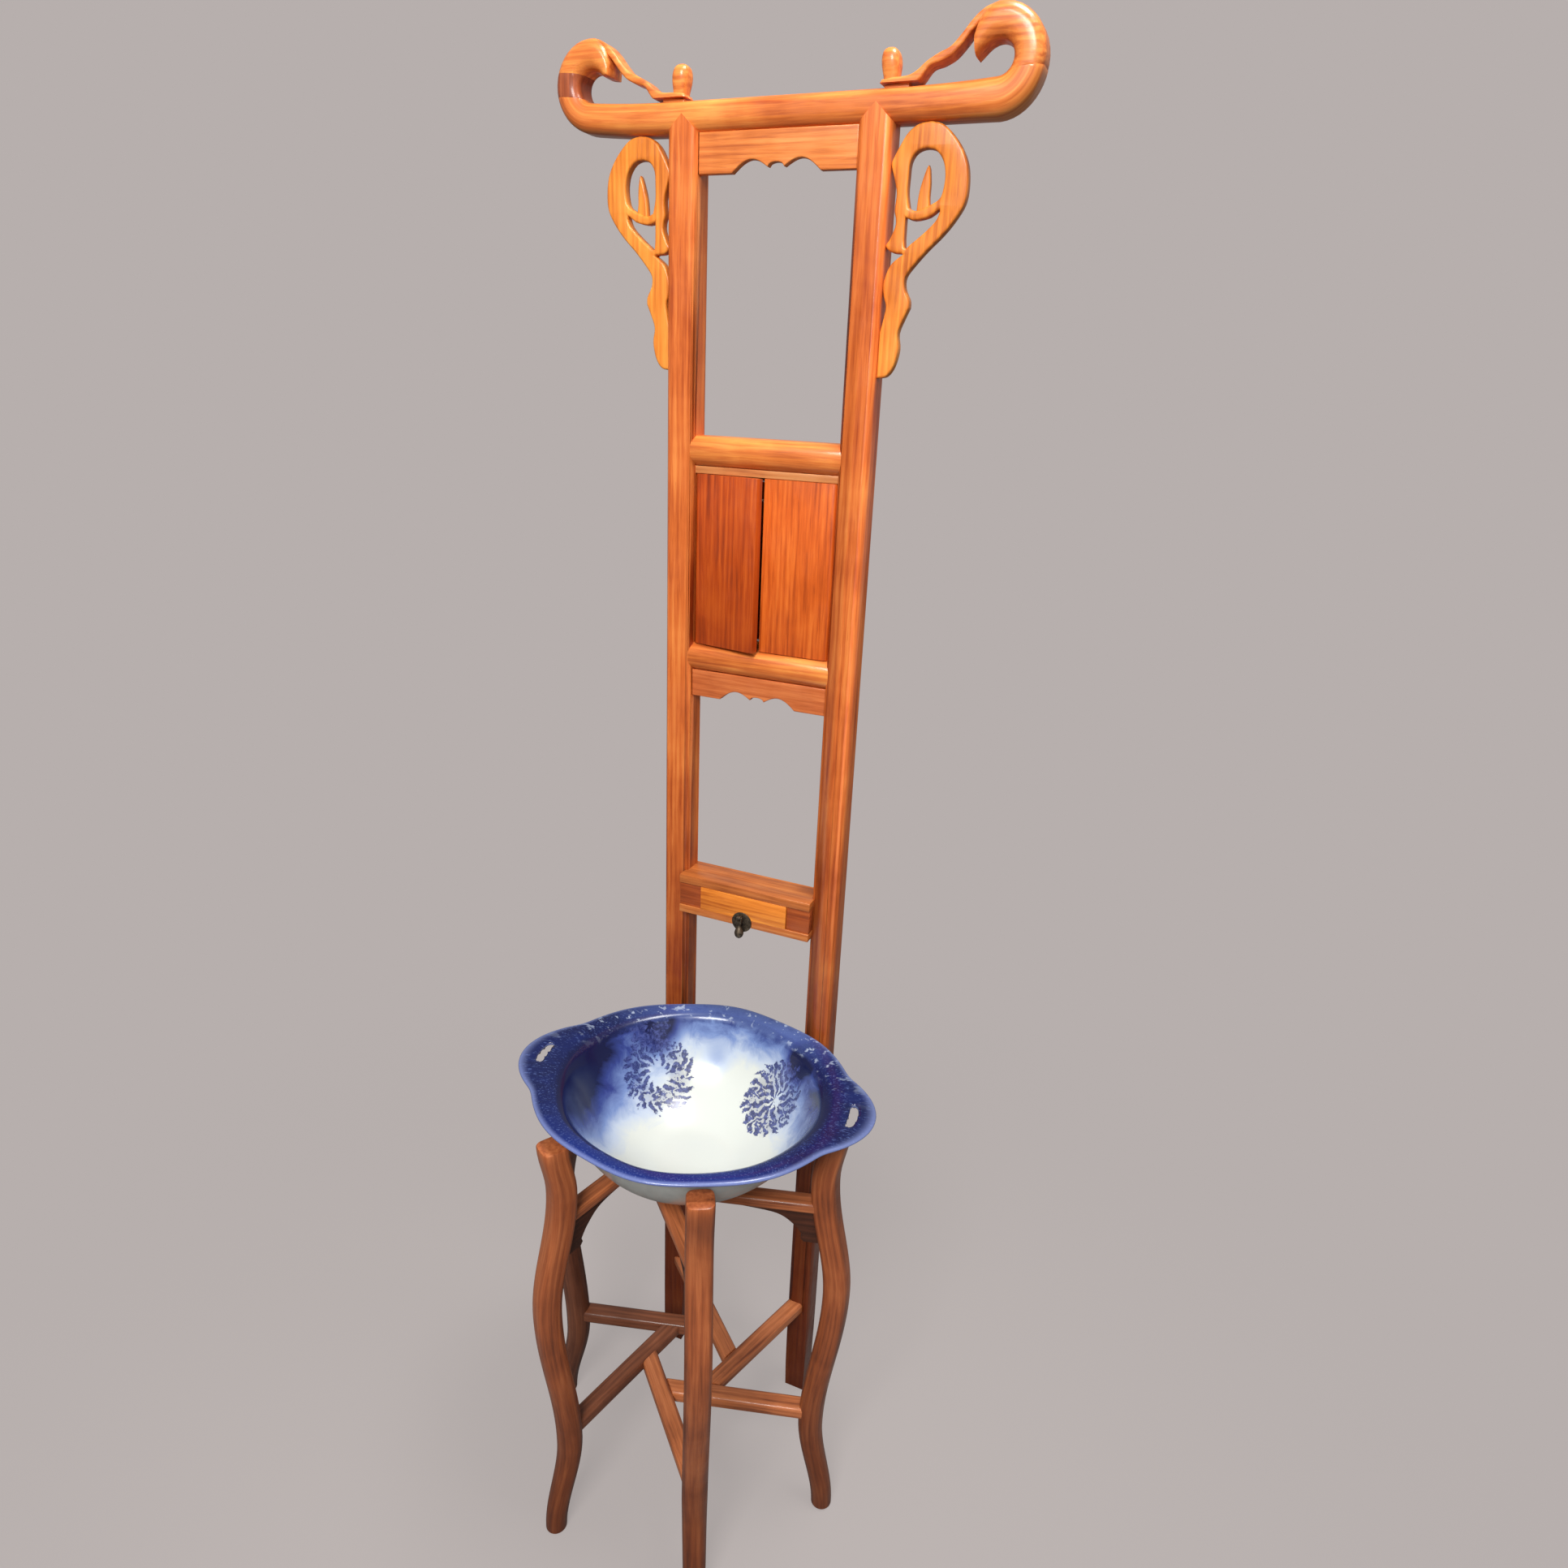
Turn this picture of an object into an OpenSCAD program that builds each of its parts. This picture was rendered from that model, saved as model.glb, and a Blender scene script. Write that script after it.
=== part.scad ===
// High-back washstand for shaving, with a lift-out wash bowl, a small
// drawer and a pair of doors over a mirror. Origin on the floor, under the
// middle of the stand. X runs to the right, Y to the back, Z up.

/* [Tall posts] */
// Distance between the centre lines of the two tall posts
post_spacing = 230; // [215:1:260]
// Width and depth of a tall post
post_w = 38; // [34:1:44]
// Radius of a tall post's rounded edges
post_round = 8; // [4:0.5:11]
// Height of the posts' shoulders, which carry the crest rail
post_h = 1833; // [1780:1:1900]
// Distance from the middle of the ring of feet back to the posts
post_back = 175.5; // [172:0.5:185]
// Width of a post at the floor, where it tapers
post_foot_w = 31; // [28:0.5:36]
// Height up to which a post tapers
post_taper_h = 160; // [120:5:165]

/* [Curved legs] */
// Height of the curved legs
leg_h = 676; // [660:1:690]
// Thickness of a curved leg above the ankle
leg_w = 35; // [32:1:38]
// Thickness of a leg at its round foot
leg_foot_w = 30; // [26:1:34]
// Distance from the middle to a foot
leg_foot_r = 226; // [220:1:245]
// Distance from the middle to a leg's ankle, its lower waist
leg_ankle_r = 200; // [194:1:206]
// Height of the ankle
leg_ankle_z = 158; // [150:1:180]
// Distance from the middle to a leg's belly
leg_belly_r = 224; // [215:1:240]
// Height of the belly
leg_belly_z = 412; // [390:1:430]
// Distance from the middle to a leg's neck, its upper waist
leg_neck_r = 197; // [194:1:204]
// Height of the neck
leg_neck_z = 600; // [585:1:612]
// Distance from the middle to the top of a leg
leg_top_r = 207; // [204:1:214]

/* [Stretchers] */
// Distance at which a stretcher's centre line passes the middle
bar_offset = 57; // [48:1:66]
// Width of a stretcher
bar_w = 25; // [20:1:28]
// Radius of a stretcher's rounded edges
bar_round = 5; // [2:0.5:6]
// Depth of a lower stretcher
lower_bar_h = 20; // [16:1:26]
// Height of the lower stretchers' centre lines
lower_bar_z = 178.5; // [150:0.5:210]
// Depth of an upper stretcher
upper_bar_h = 16; // [14:1:20]
// Height of the upper stretchers' top faces, where the bowl stands
upper_bar_top = 563; // [550:1:570]
// Depth to which stretchers and braces are let into legs and posts
housing = 8; // [5:0.5:10]
// Thickness of an arched brace under an upper stretcher
brace_t = 14; // [10:1:15]
// Depth of a brace at its leg
brace_drop = 52; // [40:1:64]
// Length of a brace from its leg's centre line
brace_len = 112; // [90:1:125]
// Radius of the nails in a lower stretcher joint
nail_r = 1.2; // [0.8:0.1:1.6]
// Length of the nails
nail_len = 9; // [6:0.5:12]

/* [Crest rail] */
// Height of the crest rail's moulding
crest_t = 32; // [28:1:36]
// Front-to-back depth of the crest rail
crest_d = 36; // [32:1:37]
// Radius of the crest rail's rounded front edges
crest_round = 12; // [8:0.5:13.5]
// Distance from the middle to the centre of an end curl
curl_x = 241; // [225:1:260]
// Radius of the hole in a curl
curl_hole_r = 16; // [12:0.5:20]
// Distance by which the crest rail's ends rise above its middle
crest_lift = 4; // [0:0.5:8]
// Height of the glue joint of the right curl above the rail's top
right_joint = 3; // [1:0.5:8]
// Height of the lower glue joint of the left curl above the rail's top
left_joint = 3; // [1:0.5:8]
// Height of the block let into the left curl
splice_h = 24; // [18:0.5:28]
// Front-to-back depth of the carved tongues and finials
tongue_d = 24; // [20:1:30]
// Height of the posts' pointed tips, seen on the crest rail
tip_h = 18; // [12:1:22]
// Depth to which pointed tips are let in from the front
tip_d = 11; // [8:0.5:14]

/* [Aprons and brackets] */
// Thickness of the two scalloped aprons
apron_t = 10; // [8:0.5:14]
// Depth of the apron under the crest rail
upper_apron_h = 42; // [34:1:50]
// Depth of the apron under the doors
lower_apron_h = 36; // [28:1:44]
// Height of the apron's scallops
scallop_h = 10.5; // [6:0.5:14]
// Distance of the aprons behind the front of the posts
apron_back = 6.5; // [4:0.5:8]
// Depth to which aprons, boards and shelves are let into the posts
groove = 4; // [3:0.5:6]
// Thickness of the pierced side brackets
bracket_t = 13; // [11:0.5:16]

/* [Doors] */
// Height of the underside of the door case's lower rail
lower_rail_z = 1210; // [1180:1:1240]
// Height of the moulding of both door rails
rail_h = 36; // [32:1:40]
// Front-to-back depth of the door rails
rail_d = 35; // [32:0.5:36]
// Height of the opening between lower rail and head strip
door_opening_h = 217; // [190:1:240]
// Thickness of the head strip over the doors
strip_h = 9; // [8:0.5:12]
// Thickness of a door
door_t = 12; // [10:0.5:14]
// Distance of the doors behind the front of the posts
door_back = 7; // [6:0.5:8]
// Gap round the doors
door_gap = 0.8; // [0.5:0.1:1.5]
// Angle by which the left door stands open
ajar = 10; // [0:1:15]
// Radius of a door's pivot pins
pivot_r = 3; // [2.5:0.25:4]
// Length of a door's pivot pins
pivot_len = 6; // [4:0.5:7]
// Radial running clearance of a pivot pin
pivot_fit = 0.08; // [0.04:0.01:0.1]
// Thickness of the mirror glass
mirror_t = 4; // [3:0.5:5]
// Thickness of the board behind the mirror
backboard_t = 5; // [4:0.5:6]

/* [Drawer case] */
// Height of the underside of the drawer case
case_z = 855; // [840:1:900]
// Width of the drawer case
case_w = 200; // [194:1:206]
// Front-to-back depth of the drawer case
case_d = 52; // [46:1:54]
// Distance by which the case stands out before the posts
case_out = 16; // [14:1:24]
// Thickness of the case's top board
case_top_t = 12; // [10:0.5:14]
// Thickness of the case's bottom board
case_bottom_t = 11; // [9:0.5:13]
// Height of the drawer opening
drawer_h = 35.5; // [32:0.5:42]
// Width of the drawer opening
drawer_w = 132; // [110:1:150]
// Distance of the side blocks behind the drawer's front
block_back = 2; // [1:0.5:4]
// Thickness of the board behind the drawer
case_back_t = 6; // [5:0.5:8]
// Thickness of the drawer's front board
drawer_front_t = 12; // [10:0.5:14]
// Thickness of the drawer's sides and back
drawer_side_t = 6; // [5:0.5:8]
// Thickness of the drawer's bottom
drawer_bottom_t = 3; // [2.5:0.5:4]
// Clearance round the drawer
drawer_gap = 0.4; // [0.3:0.05:0.8]

/* [Drawer pull] */
// Radius of the pull's round plate
plate_r = 15; // [12:0.5:18]
// Thickness of the plate
plate_t = 1.2; // [0.8:0.1:2]
// Distance of the plate's middle below the staple
plate_drop = 10; // [0:0.5:11]
// Radius of the pull's staple shank
staple_r = 1.6; // [1.2:0.1:2]
// Radius of the staple's eye
eye_r = 3; // [2.6:0.1:3.6]
// Width of the staple's eye
eye_w = 4; // [3:0.25:5]
// Radius of the pin on which the drop swings
drop_pin_r = 1.1; // [0.9:0.05:1.3]
// Radial running clearance of the drop's pin
drop_fit = 0.06; // [0.03:0.01:0.1]
// Length of the drop from its pin to its tip
drop_len = 31; // [26:0.5:36]
// Radius of the drop at its widest
drop_r = 6.5; // [5:0.25:7.5]

/* [Wash bowl] */
// Height of the wash bowl
bowl_h = 140; // [134:1:145]
// Radius of the bowl's rim at the front and back, between its scallops
bowl_r = 190; // [186:0.5:191]
// Distance by which the rim reaches further at both sides
bowl_oval = 28; // [20:1:32]
// Depth of the rim's scallops
bowl_scallop = 1.5; // [1:0.25:2]
// Number of scallops round the rim
bowl_lobes = 8; // [6:2:12]
// Wall thickness of the bowl
bowl_wall = 6; // [5:0.5:8]
// Reach of a handle beyond the rim
handle_reach = 27; // [20:1:32]
// Length of the finger slot in a handle
slot_len = 46; // [36:1:50]
// Width of the finger slot
slot_w = 11; // [9:0.5:13]
// Angle by which the bowl is turned in the stand
bowl_turn = 8; // [0:1:12]
// Distance of the bowl's centre before the middle of the stand
bowl_front = 22; // [19:0.5:22.5]
// Distance of the bowl's centre to the right of the middle
bowl_right = 10; // [4:0.5:10.5]
// Gap between the bowl's foot and the stretchers under it
seat_gap = 0.3; // [0.2:0.05:0.5]

/* [Hidden] */
SIDES = ["right", "back_right", "back_left", "left", "front_left", "front_right"];
$fn = 48;
far = 600;
post_front = post_back - post_w / 2;
post_inner = post_spacing / 2 - post_w / 2;
post_outer = post_spacing / 2 + post_w / 2;
// Angle to which an end of the crest rail rises; its sine and cosine are short decimals,
// so that turned faces meet exactly
crest_tilt = asin(0.07584);
crest_bend_r = round(crest_lift / (1 - cos(crest_tilt)));
crest_bend_x = round(curl_x - crest_bend_r * sin(crest_tilt));
LEG_POINTS = 16;
leg_edge = 3;
// Section of a leg: round at the foot, a square with soft corners at the top
function leg_ring(x, w, z) = [for (j = [0:LEG_POINTS - 1])
    let (a = 360 * (j + 0.5) / LEG_POINTS, c = cos(a), s = sin(a), p = 1 / (1 + (z / leg_h) ^ 1.5))
    [x + w / 2 * sign(c) * abs(c) ^ p, w / 2 * sign(s) * abs(s) ^ p, z]];
function front_reach(x, w, z) = max([for (p = leg_ring(x, w, z)) p.x * sin(60) + p.y * cos(60)]);
leg_front = max(front_reach(leg_foot_r, leg_foot_w, 0), front_reach(leg_belly_r, leg_w, leg_belly_z));
// The ring of feet is set so that the origin lies under the middle of the
// whole outline, front to back
ring_y = (leg_front - post_back - post_w / 2) / 2;
crest_top = post_h + crest_t;
curl_z = crest_top + curl_hole_r;
curl_r = curl_hole_r + crest_t;
lower_rail_mid = lower_rail_z + rail_h / 2;
door_z = lower_rail_z + rail_h;
strip_z = door_z + door_opening_h;
upper_rail_mid = strip_z + strip_h + rail_h / 2;
door_front = post_front + door_back;
door_mid = door_front + door_t / 2;
pivot_x = post_inner - door_gap - door_t / 2;
back_of_posts = post_back + post_w / 2;
backboard_y = back_of_posts - groove - backboard_t;
case_y = post_front - case_out;
case_opening_z = case_z + case_bottom_t;
case_top_z = case_opening_z + drawer_h;
drawer_y = case_y - drawer_gap;
drawer_len = case_d - case_back_t - drawer_side_t / 2;
pull_z = case_opening_z + drawer_gap + drawer_bottom_t + staple_r + 1;
drop_y = drawer_y - plate_t - drop_r - 1;
upper_bar_z = upper_bar_top - upper_bar_h / 2;
bowl_z = upper_bar_top + seat_gap;

// Height curve of a leg: half a cosine wave from each waist to each bulge
LEG_STATIONS = [[0, leg_foot_r], [leg_ankle_z, leg_ankle_r], [leg_belly_z, leg_belly_r],
    [leg_neck_z, leg_neck_r], [leg_h, leg_top_r]];
function blend(a, b, t) = a + (b - a) * (1 - cos(180 * t)) / 2;
function leg_r(z, i = 0) =
    i >= len(LEG_STATIONS) - 2 || z <= LEG_STATIONS[i + 1][0]
    ? blend(LEG_STATIONS[i][1], LEG_STATIONS[i + 1][1],
        (z - LEG_STATIONS[i][0]) / (LEG_STATIONS[i + 1][0] - LEG_STATIONS[i][0]))
    : leg_r(z, i + 1);

// Centre of the upright at side k, and the way its stretcher leaves it
function upright(k, z) =
    k == 1 ? [post_spacing / 2, post_back]
    : k == 2 ? [-post_spacing / 2, post_back]
    : leg_r(z) * [cos(60 * k), sin(60 * k)];
function bar_dir(k, z) =
    let (p = upright(k, z)) atan2(p.y, p.x) + 180 + asin(bar_offset / norm(p));
function bar_start(k) = (k == 1 || k == 2 ? post_w : leg_w) / 2 - housing;

// Smooth curve through hand-set points, and triangles over stacked rings
function spline_at(a, b, c, d, t) =
    0.5 * (2 * b + (c - a) * t + (2 * a - 5 * b + 4 * c - d) * t * t
    + (3 * b - a - 3 * c + d) * t * t * t);
function curve(p, n = 4) = [
    for (i = [0:len(p) - 2]) for (s = [0:n - 1])
        spline_at(p[max(i - 1, 0)], p[i], p[i + 1], p[min(i + 2, len(p) - 1)], s / n),
    p[len(p) - 1]];
function skin_faces(rings, n) = concat(
    [for (j = [1:n - 2]) [0, j, j + 1]],
    [for (i = [0:rings - 2]) for (j = [0:n - 1])
        let (a = i * n + j, b = i * n + (j + 1) % n) each [[a, a + n, b + n], [a, b + n, b]]],
    [for (j = [1:n - 2]) let (e = (rings - 1) * n) [e, e + j + 1, e + j]]);

module skin(rings) {
    polyhedron([for (r = rings) each r], skin_faces(len(rings), len(rings[0])), 10);
}

module on_ring() {
    translate([0, ring_y, 0]) children();
}

module mirrored(side) {
    mirror([side < 0 ? 1 : 0, 0, 0]) children();
}

// Rectangle with true round corners, the left pair and the right pair
module soft_rect(w, h, left_r, right_r) {
    translate([-w / 2 + left_r, -h / 2]) square([w - left_r - right_r, h]);
    translate([-w / 2, -h / 2 + left_r]) square([left_r, h - 2 * left_r]);
    translate([w / 2 - right_r, -h / 2 + right_r]) square([right_r, h - 2 * right_r]);
    for (s = [-1, 1]) {
        translate([-w / 2 + left_r, s * (h / 2 - left_r)]) circle(left_r);
        translate([w / 2 - right_r, s * (h / 2 - right_r)]) circle(right_r);
    }
}

// Prism along X with its section given in the YZ plane
module along_x(x0, length, y, z) {
    translate([x0, y, z]) rotate([90, 0, 90]) linear_extrude(length) children();
}

// Plate in the XZ plane, from y back by t
module upright_plate(y, t) {
    translate([0, y + t, 0]) rotate([90, 0, 0]) linear_extrude(t) children();
}

module slab(x0, x1, y0, y1, z0, z1) {
    translate([x0, y0, z0]) cube([x1 - x0, y1 - y0, z1 - z0]);
}

// Stretchers

module bar_line(k, z) {
    p = upright(k, z);
    translate([p.x, p.y, 0]) rotate([0, 0, bar_dir(k, z)]) children();
}

module bar_blank(k, z, h, length) {
    bar_line(k, z) along_x(bar_start(k), length, 0, z) soft_rect(bar_w, h, bar_round, bar_round);
}

module whirl_bar(k, z, h) {
    next = (k + 5) % 6;
    difference() {
        bar_blank(k, z, h, norm(upright(k, z)) + bar_w);
        bar_line(next, z) translate([-far, -bar_w / 2, z - h]) cube([2 * far, far, 2 * h]);
    }
}

// Two nails hold the end of the back right stretcher
NAILED = 1;
module nails() {
    z = lower_bar_z + lower_bar_h / 2;
    reach = norm(upright(NAILED, lower_bar_z));
    bar_line(NAILED, lower_bar_z)
        for (s = [-1, 1])
            translate([reach - 2 * nail_len, s * bar_w / 5, z - nail_len]) cylinder(r = nail_r, h = nail_len);
}

module lower_stretcher(k) {
    color("sienna") on_ring() difference() {
        whirl_bar(k, lower_bar_z, lower_bar_h);
        if (k == NAILED) nails();
    }
}

module upper_stretcher(k) {
    color("sienna") on_ring() whirl_bar(k, upper_bar_z, upper_bar_h);
}

module stretcher_nails() {
    color("dimgray") on_ring() nails();
}

function lean(k, z) = k == 1 || k == 2 ? 0 : leg_r(z) - leg_r(upper_bar_z);
function brace_outline(k) =
    let (top = upper_bar_top - upper_bar_h, low = top - brace_drop, s0 = bar_start(k),
        toe = s0 + housing + 10)
    concat(
        [for (z = [top, (top + low) / 2, low]) [s0 - lean(k, z), z]],
        [[toe, low], [toe + 4, low + 5]],
        curve([[toe + 2, low + 11], [toe + 14, low + 27], [toe + 38, low + 43], [brace_len, top - 3]]),
        [[brace_len, top]]);

module brace_solid(k) {
    bar_line(k, upper_bar_z) upright_plate(-brace_t / 2, brace_t) polygon(brace_outline(k));
}

module arched_brace(k) {
    color("saddlebrown") on_ring() brace_solid(k);
}

// Curved legs

function leg_thick(z) = leg_foot_w + (leg_w - leg_foot_w) * min(z / leg_ankle_z, 1);
function leg_rings() = let (steps = 26, top = leg_h - leg_edge) concat(
    [leg_ring(leg_foot_r, leg_foot_w - 2 * leg_edge, 0)],
    [for (i = [0:steps]) let (z = leg_edge + (top - leg_edge) * i / steps)
        leg_ring(leg_r(z), leg_thick(z), z)],
    [leg_ring(leg_r(leg_h), leg_w - 2 * leg_edge, leg_h)]);

module leg(k) {
    color("sienna") on_ring() difference() {
        rotate([0, 0, 60 * k]) skin(leg_rings());
        bar_blank(k, lower_bar_z, lower_bar_h, leg_w);
        bar_blank(k, upper_bar_z, upper_bar_h, leg_w);
        brace_solid(k);
    }
}

// Tall posts

// Cuts that narrow a post towards the floor on all four sides
module post_taper(side) {
    angle = atan((post_w - post_foot_w) / 2 / post_taper_h);
    translate([side * post_spacing / 2, post_back, 0])
        for (a = [0:90:270])
            rotate([0, 0, a]) translate([post_foot_w / 2, -post_w, 0]) rotate([0, angle, 0])
                translate([0, 0, -post_w]) cube([post_w, 2 * post_w, post_taper_h + 2 * post_w]);
}

module post_blank(side, height) {
    translate([side * post_spacing / 2, post_back, 0]) linear_extrude(height)
        soft_rect(post_w, post_w, post_round, post_round);
}

// Pointed tip of a post on the crest rail, cut from the post's own section
module post_tip(side) {
    intersection() {
        post_blank(side, post_h + tip_h);
        translate([side * post_spacing / 2, 0, post_h])
            upright_plate(post_front, tip_d)
            polygon([[-post_w / 2, -1], [post_w / 2, -1], [post_w / 2, 0], [0, tip_h], [-post_w / 2, 0]]);
    }
}

tenon_w = 14;
tenon_h = 18;
module post_tenon(side) {
    translate([side * post_spacing / 2 - tenon_w / 2, post_back, post_h - 1])
        cube([tenon_w, tenon_w, tenon_h + 1]);
}

module post(side) {
    k = side > 0 ? 1 : 2;
    color("chocolate") on_ring() difference() {
        union() {
            post_blank(side, post_h);
            post_tip(side);
            post_tenon(side);
        }
        post_taper(side);
        bar_blank(k, lower_bar_z, lower_bar_h, post_w);
        bar_blank(k, upper_bar_z, upper_bar_h, post_w);
        brace_solid(k);
        rail_tongue(side, lower_rail_mid);
        rail_tongue(side, upper_rail_mid);
        apron_blank(post_h, upper_apron_h);
        apron_blank(lower_rail_z, lower_apron_h);
        backboard_blank();
        case_tongue(case_z, case_bottom_t);
        case_tongue(case_top_z, case_top_t);
    }
}

// Door rails, with half-round fronts and pointed tongues on the posts

rail_round = 13;
module rail_blank(mid) {
    along_x(-post_spacing / 2, post_spacing, post_front + 1 + rail_d / 2, mid)
        soft_rect(rail_d, rail_h, rail_round, 2);
}

module rail_tongue(side, mid) {
    intersection() {
        rail_blank(mid);
        mirrored(side) upright_plate(post_front, tip_d)
            polygon([[post_inner - 1, mid - rail_h / 2], [post_inner, mid - rail_h / 2],
                [post_inner + tip_h * 0.7, mid], [post_inner, mid + rail_h / 2],
                [post_inner - 1, mid + rail_h / 2]]);
    }
}

module rail(mid) {
    difference() {
        rail_blank(mid);
        post_blank(-1, far * 3);
        post_blank(1, far * 3);
    }
    rail_tongue(-1, mid);
    rail_tongue(1, mid);
}

module upper_door_rail() {
    color("chocolate") on_ring() rail(upper_rail_mid);
}

module lower_door_rail() {
    color("chocolate") on_ring() difference() {
        rail(lower_rail_mid);
        pivot_bores(door_z - pivot_len - 1, pivot_len + 2);
    }
}

module door_head_strip() {
    color("peru") on_ring() difference() {
        slab(-post_inner, post_inner, post_front + post_round, back_of_posts - 2, strip_z, strip_z + strip_h);
        pivot_bores(strip_z - 1, pivot_len + 2);
    }
}

// Doors, pivoting on round pins near their outer edges

module pivot_bores(z, depth) {
    for (s = [-1, 1])
        translate([s * pivot_x, door_mid, z]) cylinder(r = pivot_r + pivot_fit, h = depth);
}

// Right door, closed: round outer edge about the pivot, meeting edge inside
module door_leaf() {
    z0 = door_z + door_gap / 2;
    height = door_opening_h - door_gap;
    slab(door_gap / 2, pivot_x, door_front, door_front + door_t, z0, z0 + height);
    translate([pivot_x, door_mid, z0]) cylinder(r = door_t / 2, h = height);
    translate([pivot_x, door_mid, z0 - pivot_len]) cylinder(r = pivot_r, h = height + 2 * pivot_len);
}

module right_door() {
    color("darkorange") on_ring() door_leaf();
}

module left_door() {
    color("darkorange") on_ring()
        translate([-pivot_x, door_mid, 0]) rotate([0, 0, -ajar]) translate([pivot_x, -door_mid, 0])
        mirrored(-1) door_leaf();
}

module mirror_glass() {
    color("lightsteelblue") on_ring()
        slab(-post_inner, post_inner, backboard_y - mirror_t, backboard_y, door_z, strip_z);
}

module backboard_blank() {
    reach = post_inner + groove;
    slab(-reach, reach, backboard_y, backboard_y + backboard_t, door_z, strip_z);
}

module mirror_backboard() {
    color("sienna") on_ring() backboard_blank();
}

// Aprons with a scalloped lower edge, let into the posts at both ends

scallop_in = 10;
scallop_out = 54;
// Rise of the lower edge at a distance a from the middle
function scallop(a) =
    a < scallop_in ? scallop_h / 2 * (1 + sqrt(1 - (a / scallop_in) ^ 2) * 0.9)
    : a > scallop_out ? 0
    : let (t = (a - scallop_in) / (scallop_out - scallop_in))
        scallop_h / 2 * (1 - t) + scallop_h * sin(180 * t);
module apron_outline(top, h) {
    reach = post_inner + groove;
    low = top - h;
    polygon(concat(
        [[-reach, top], [-reach, low]],
        [for (x = [-scallop_out:2:scallop_out]) [x, low + scallop(abs(x))]],
        [[reach, low], [reach, top]]));
}

module apron_blank(top, h) {
    reach = post_inner + groove;
    slab(-reach, reach, post_front + apron_back, post_front + apron_back + apron_t, top - h, top);
}

module apron(top, h) {
    upright_plate(post_front + apron_back, apron_t) apron_outline(top, h);
}

module upper_apron() {
    color("goldenrod") on_ring() apron(post_h, upper_apron_h);
}

module lower_apron() {
    color("goldenrod") on_ring() apron(lower_rail_z, lower_apron_h);
}

// Pierced side brackets. Points are given from the post's outer face and
// from the underside of the crest rail.

BRACKET_OUTER = [[48, 3], [58, -8], [68, -17], [80, -31], [84, -45], [84, -60], [80, -75], [68, -91],
    [56, -104], [40, -121], [27, -139], [22, -149], [24, -161], [33, -174]];
BRACKET_STEM = [[33, -174], [25, -188], [20, -204], [22, -222], [17, -238], [9, -249], [0, -251]];
BRACKET_NECK = [[0, -203], [3, -190], [5, -177], [2, -168], [0, -156], [2, -146], [8, -134], [20, -125]];
BRACKET_INNER = [[20, -124], [8, -123], [0, -117], [4, -110], [9, -98], [9, -90], [7, -82], [8, -66],
    [4, -51], [0, -39], [3, -31], [8, -22], [17, -10], [28, 3]];
BRACKET_EYE = [[23, -80], [20, -66], [20, -51], [21, -37], [27, -28], [38, -25], [49, -28], [57, -38],
    [60, -51], [59, -64], [56, -72], [48, -77], [38, -81], [30, -83]];
BRACKET_LEAF = [[31, -85], [32, -69], [35, -55], [41, -40]];
BRACKET_LEAF_BACK = [[41, -40], [44, -56], [44, -70], [46, -83]];
BRACKET_HEEL = [[20, -89], [30, -92], [46, -89], [57, -82], [55, -91], [48, -99], [36, -109],
    [27, -117], [20, -120]];
BRACKET_SPRIG = [[17, -106], [27, -107], [34, -105], [29, -96], [17, -94]];

module bracket_outline() {
    difference() {
        intersection() {
            polygon(concat(curve(BRACKET_OUTER), curve(BRACKET_STEM), curve(BRACKET_NECK),
                curve(BRACKET_INNER)));
            translate([0, -far]) square([far, far + crest_lift]);
        }
        translate([crest_bend_x - post_outer, crest_bend_r]) circle(crest_bend_r, $fn = 1440);
        difference() {
            polygon(curve(BRACKET_HEEL));
            polygon(curve(BRACKET_SPRIG, 3));
        }
        difference() {
            polygon(curve(BRACKET_EYE, 3));
            polygon(concat(curve(BRACKET_LEAF, 3), curve(BRACKET_LEAF_BACK, 3)));
        }
    }
}

module side_bracket(side) {
    color("goldenrod") on_ring() mirrored(side)
        translate([post_outer, 0, post_h])
        upright_plate(post_front + post_round, bracket_t) bracket_outline();
}

// Crest rail with its two curled heads

module crest_section() {
    soft_rect(crest_d, crest_t, crest_round, crest_round / 2);
}

module crest_bar(x0, length) {
    along_x(x0, length, post_back, post_h + crest_t / 2) crest_section();
}

// Section of the rail turned outwards and up about a point
module crest_arc(z, inner_r, turn) {
    translate([crest_bend_x, post_back, z]) rotate([90, 0, 0]) rotate([0, 0, -90])
        rotate_extrude(angle = turn) translate([inner_r + crest_t / 2, 0]) rotate(-90) crest_section();
}

// Turns the curl, drawn at the start of the arc, to the arc's end
module lifted(side) {
    mirrored(side) translate([crest_bend_x, 0, post_h + crest_bend_r]) rotate([0, -crest_tilt, 0])
        translate([-crest_bend_x, 0, -post_h - crest_bend_r]) children();
}

// Arc in which the rail rises from a post to its curl
module crest_rise(side) {
    intersection() {
        mirrored(side)
            crest_arc(post_h + crest_bend_r, crest_bend_r - crest_t, 2 * crest_tilt, $fn = 1440);
        mirrored(side) slab(crest_bend_x, far, 0, far, post_h - crest_t, post_h + far);
        lifted(side) slab(-far, crest_bend_x, 0, far, post_h - crest_t, post_h + far);
    }
}

module curl_band(z0, z1) {
    intersection() {
        crest_arc(curl_z, curl_hole_r, 180);
        slab(0, far, 0, far, z0, z1);
    }
}

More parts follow.
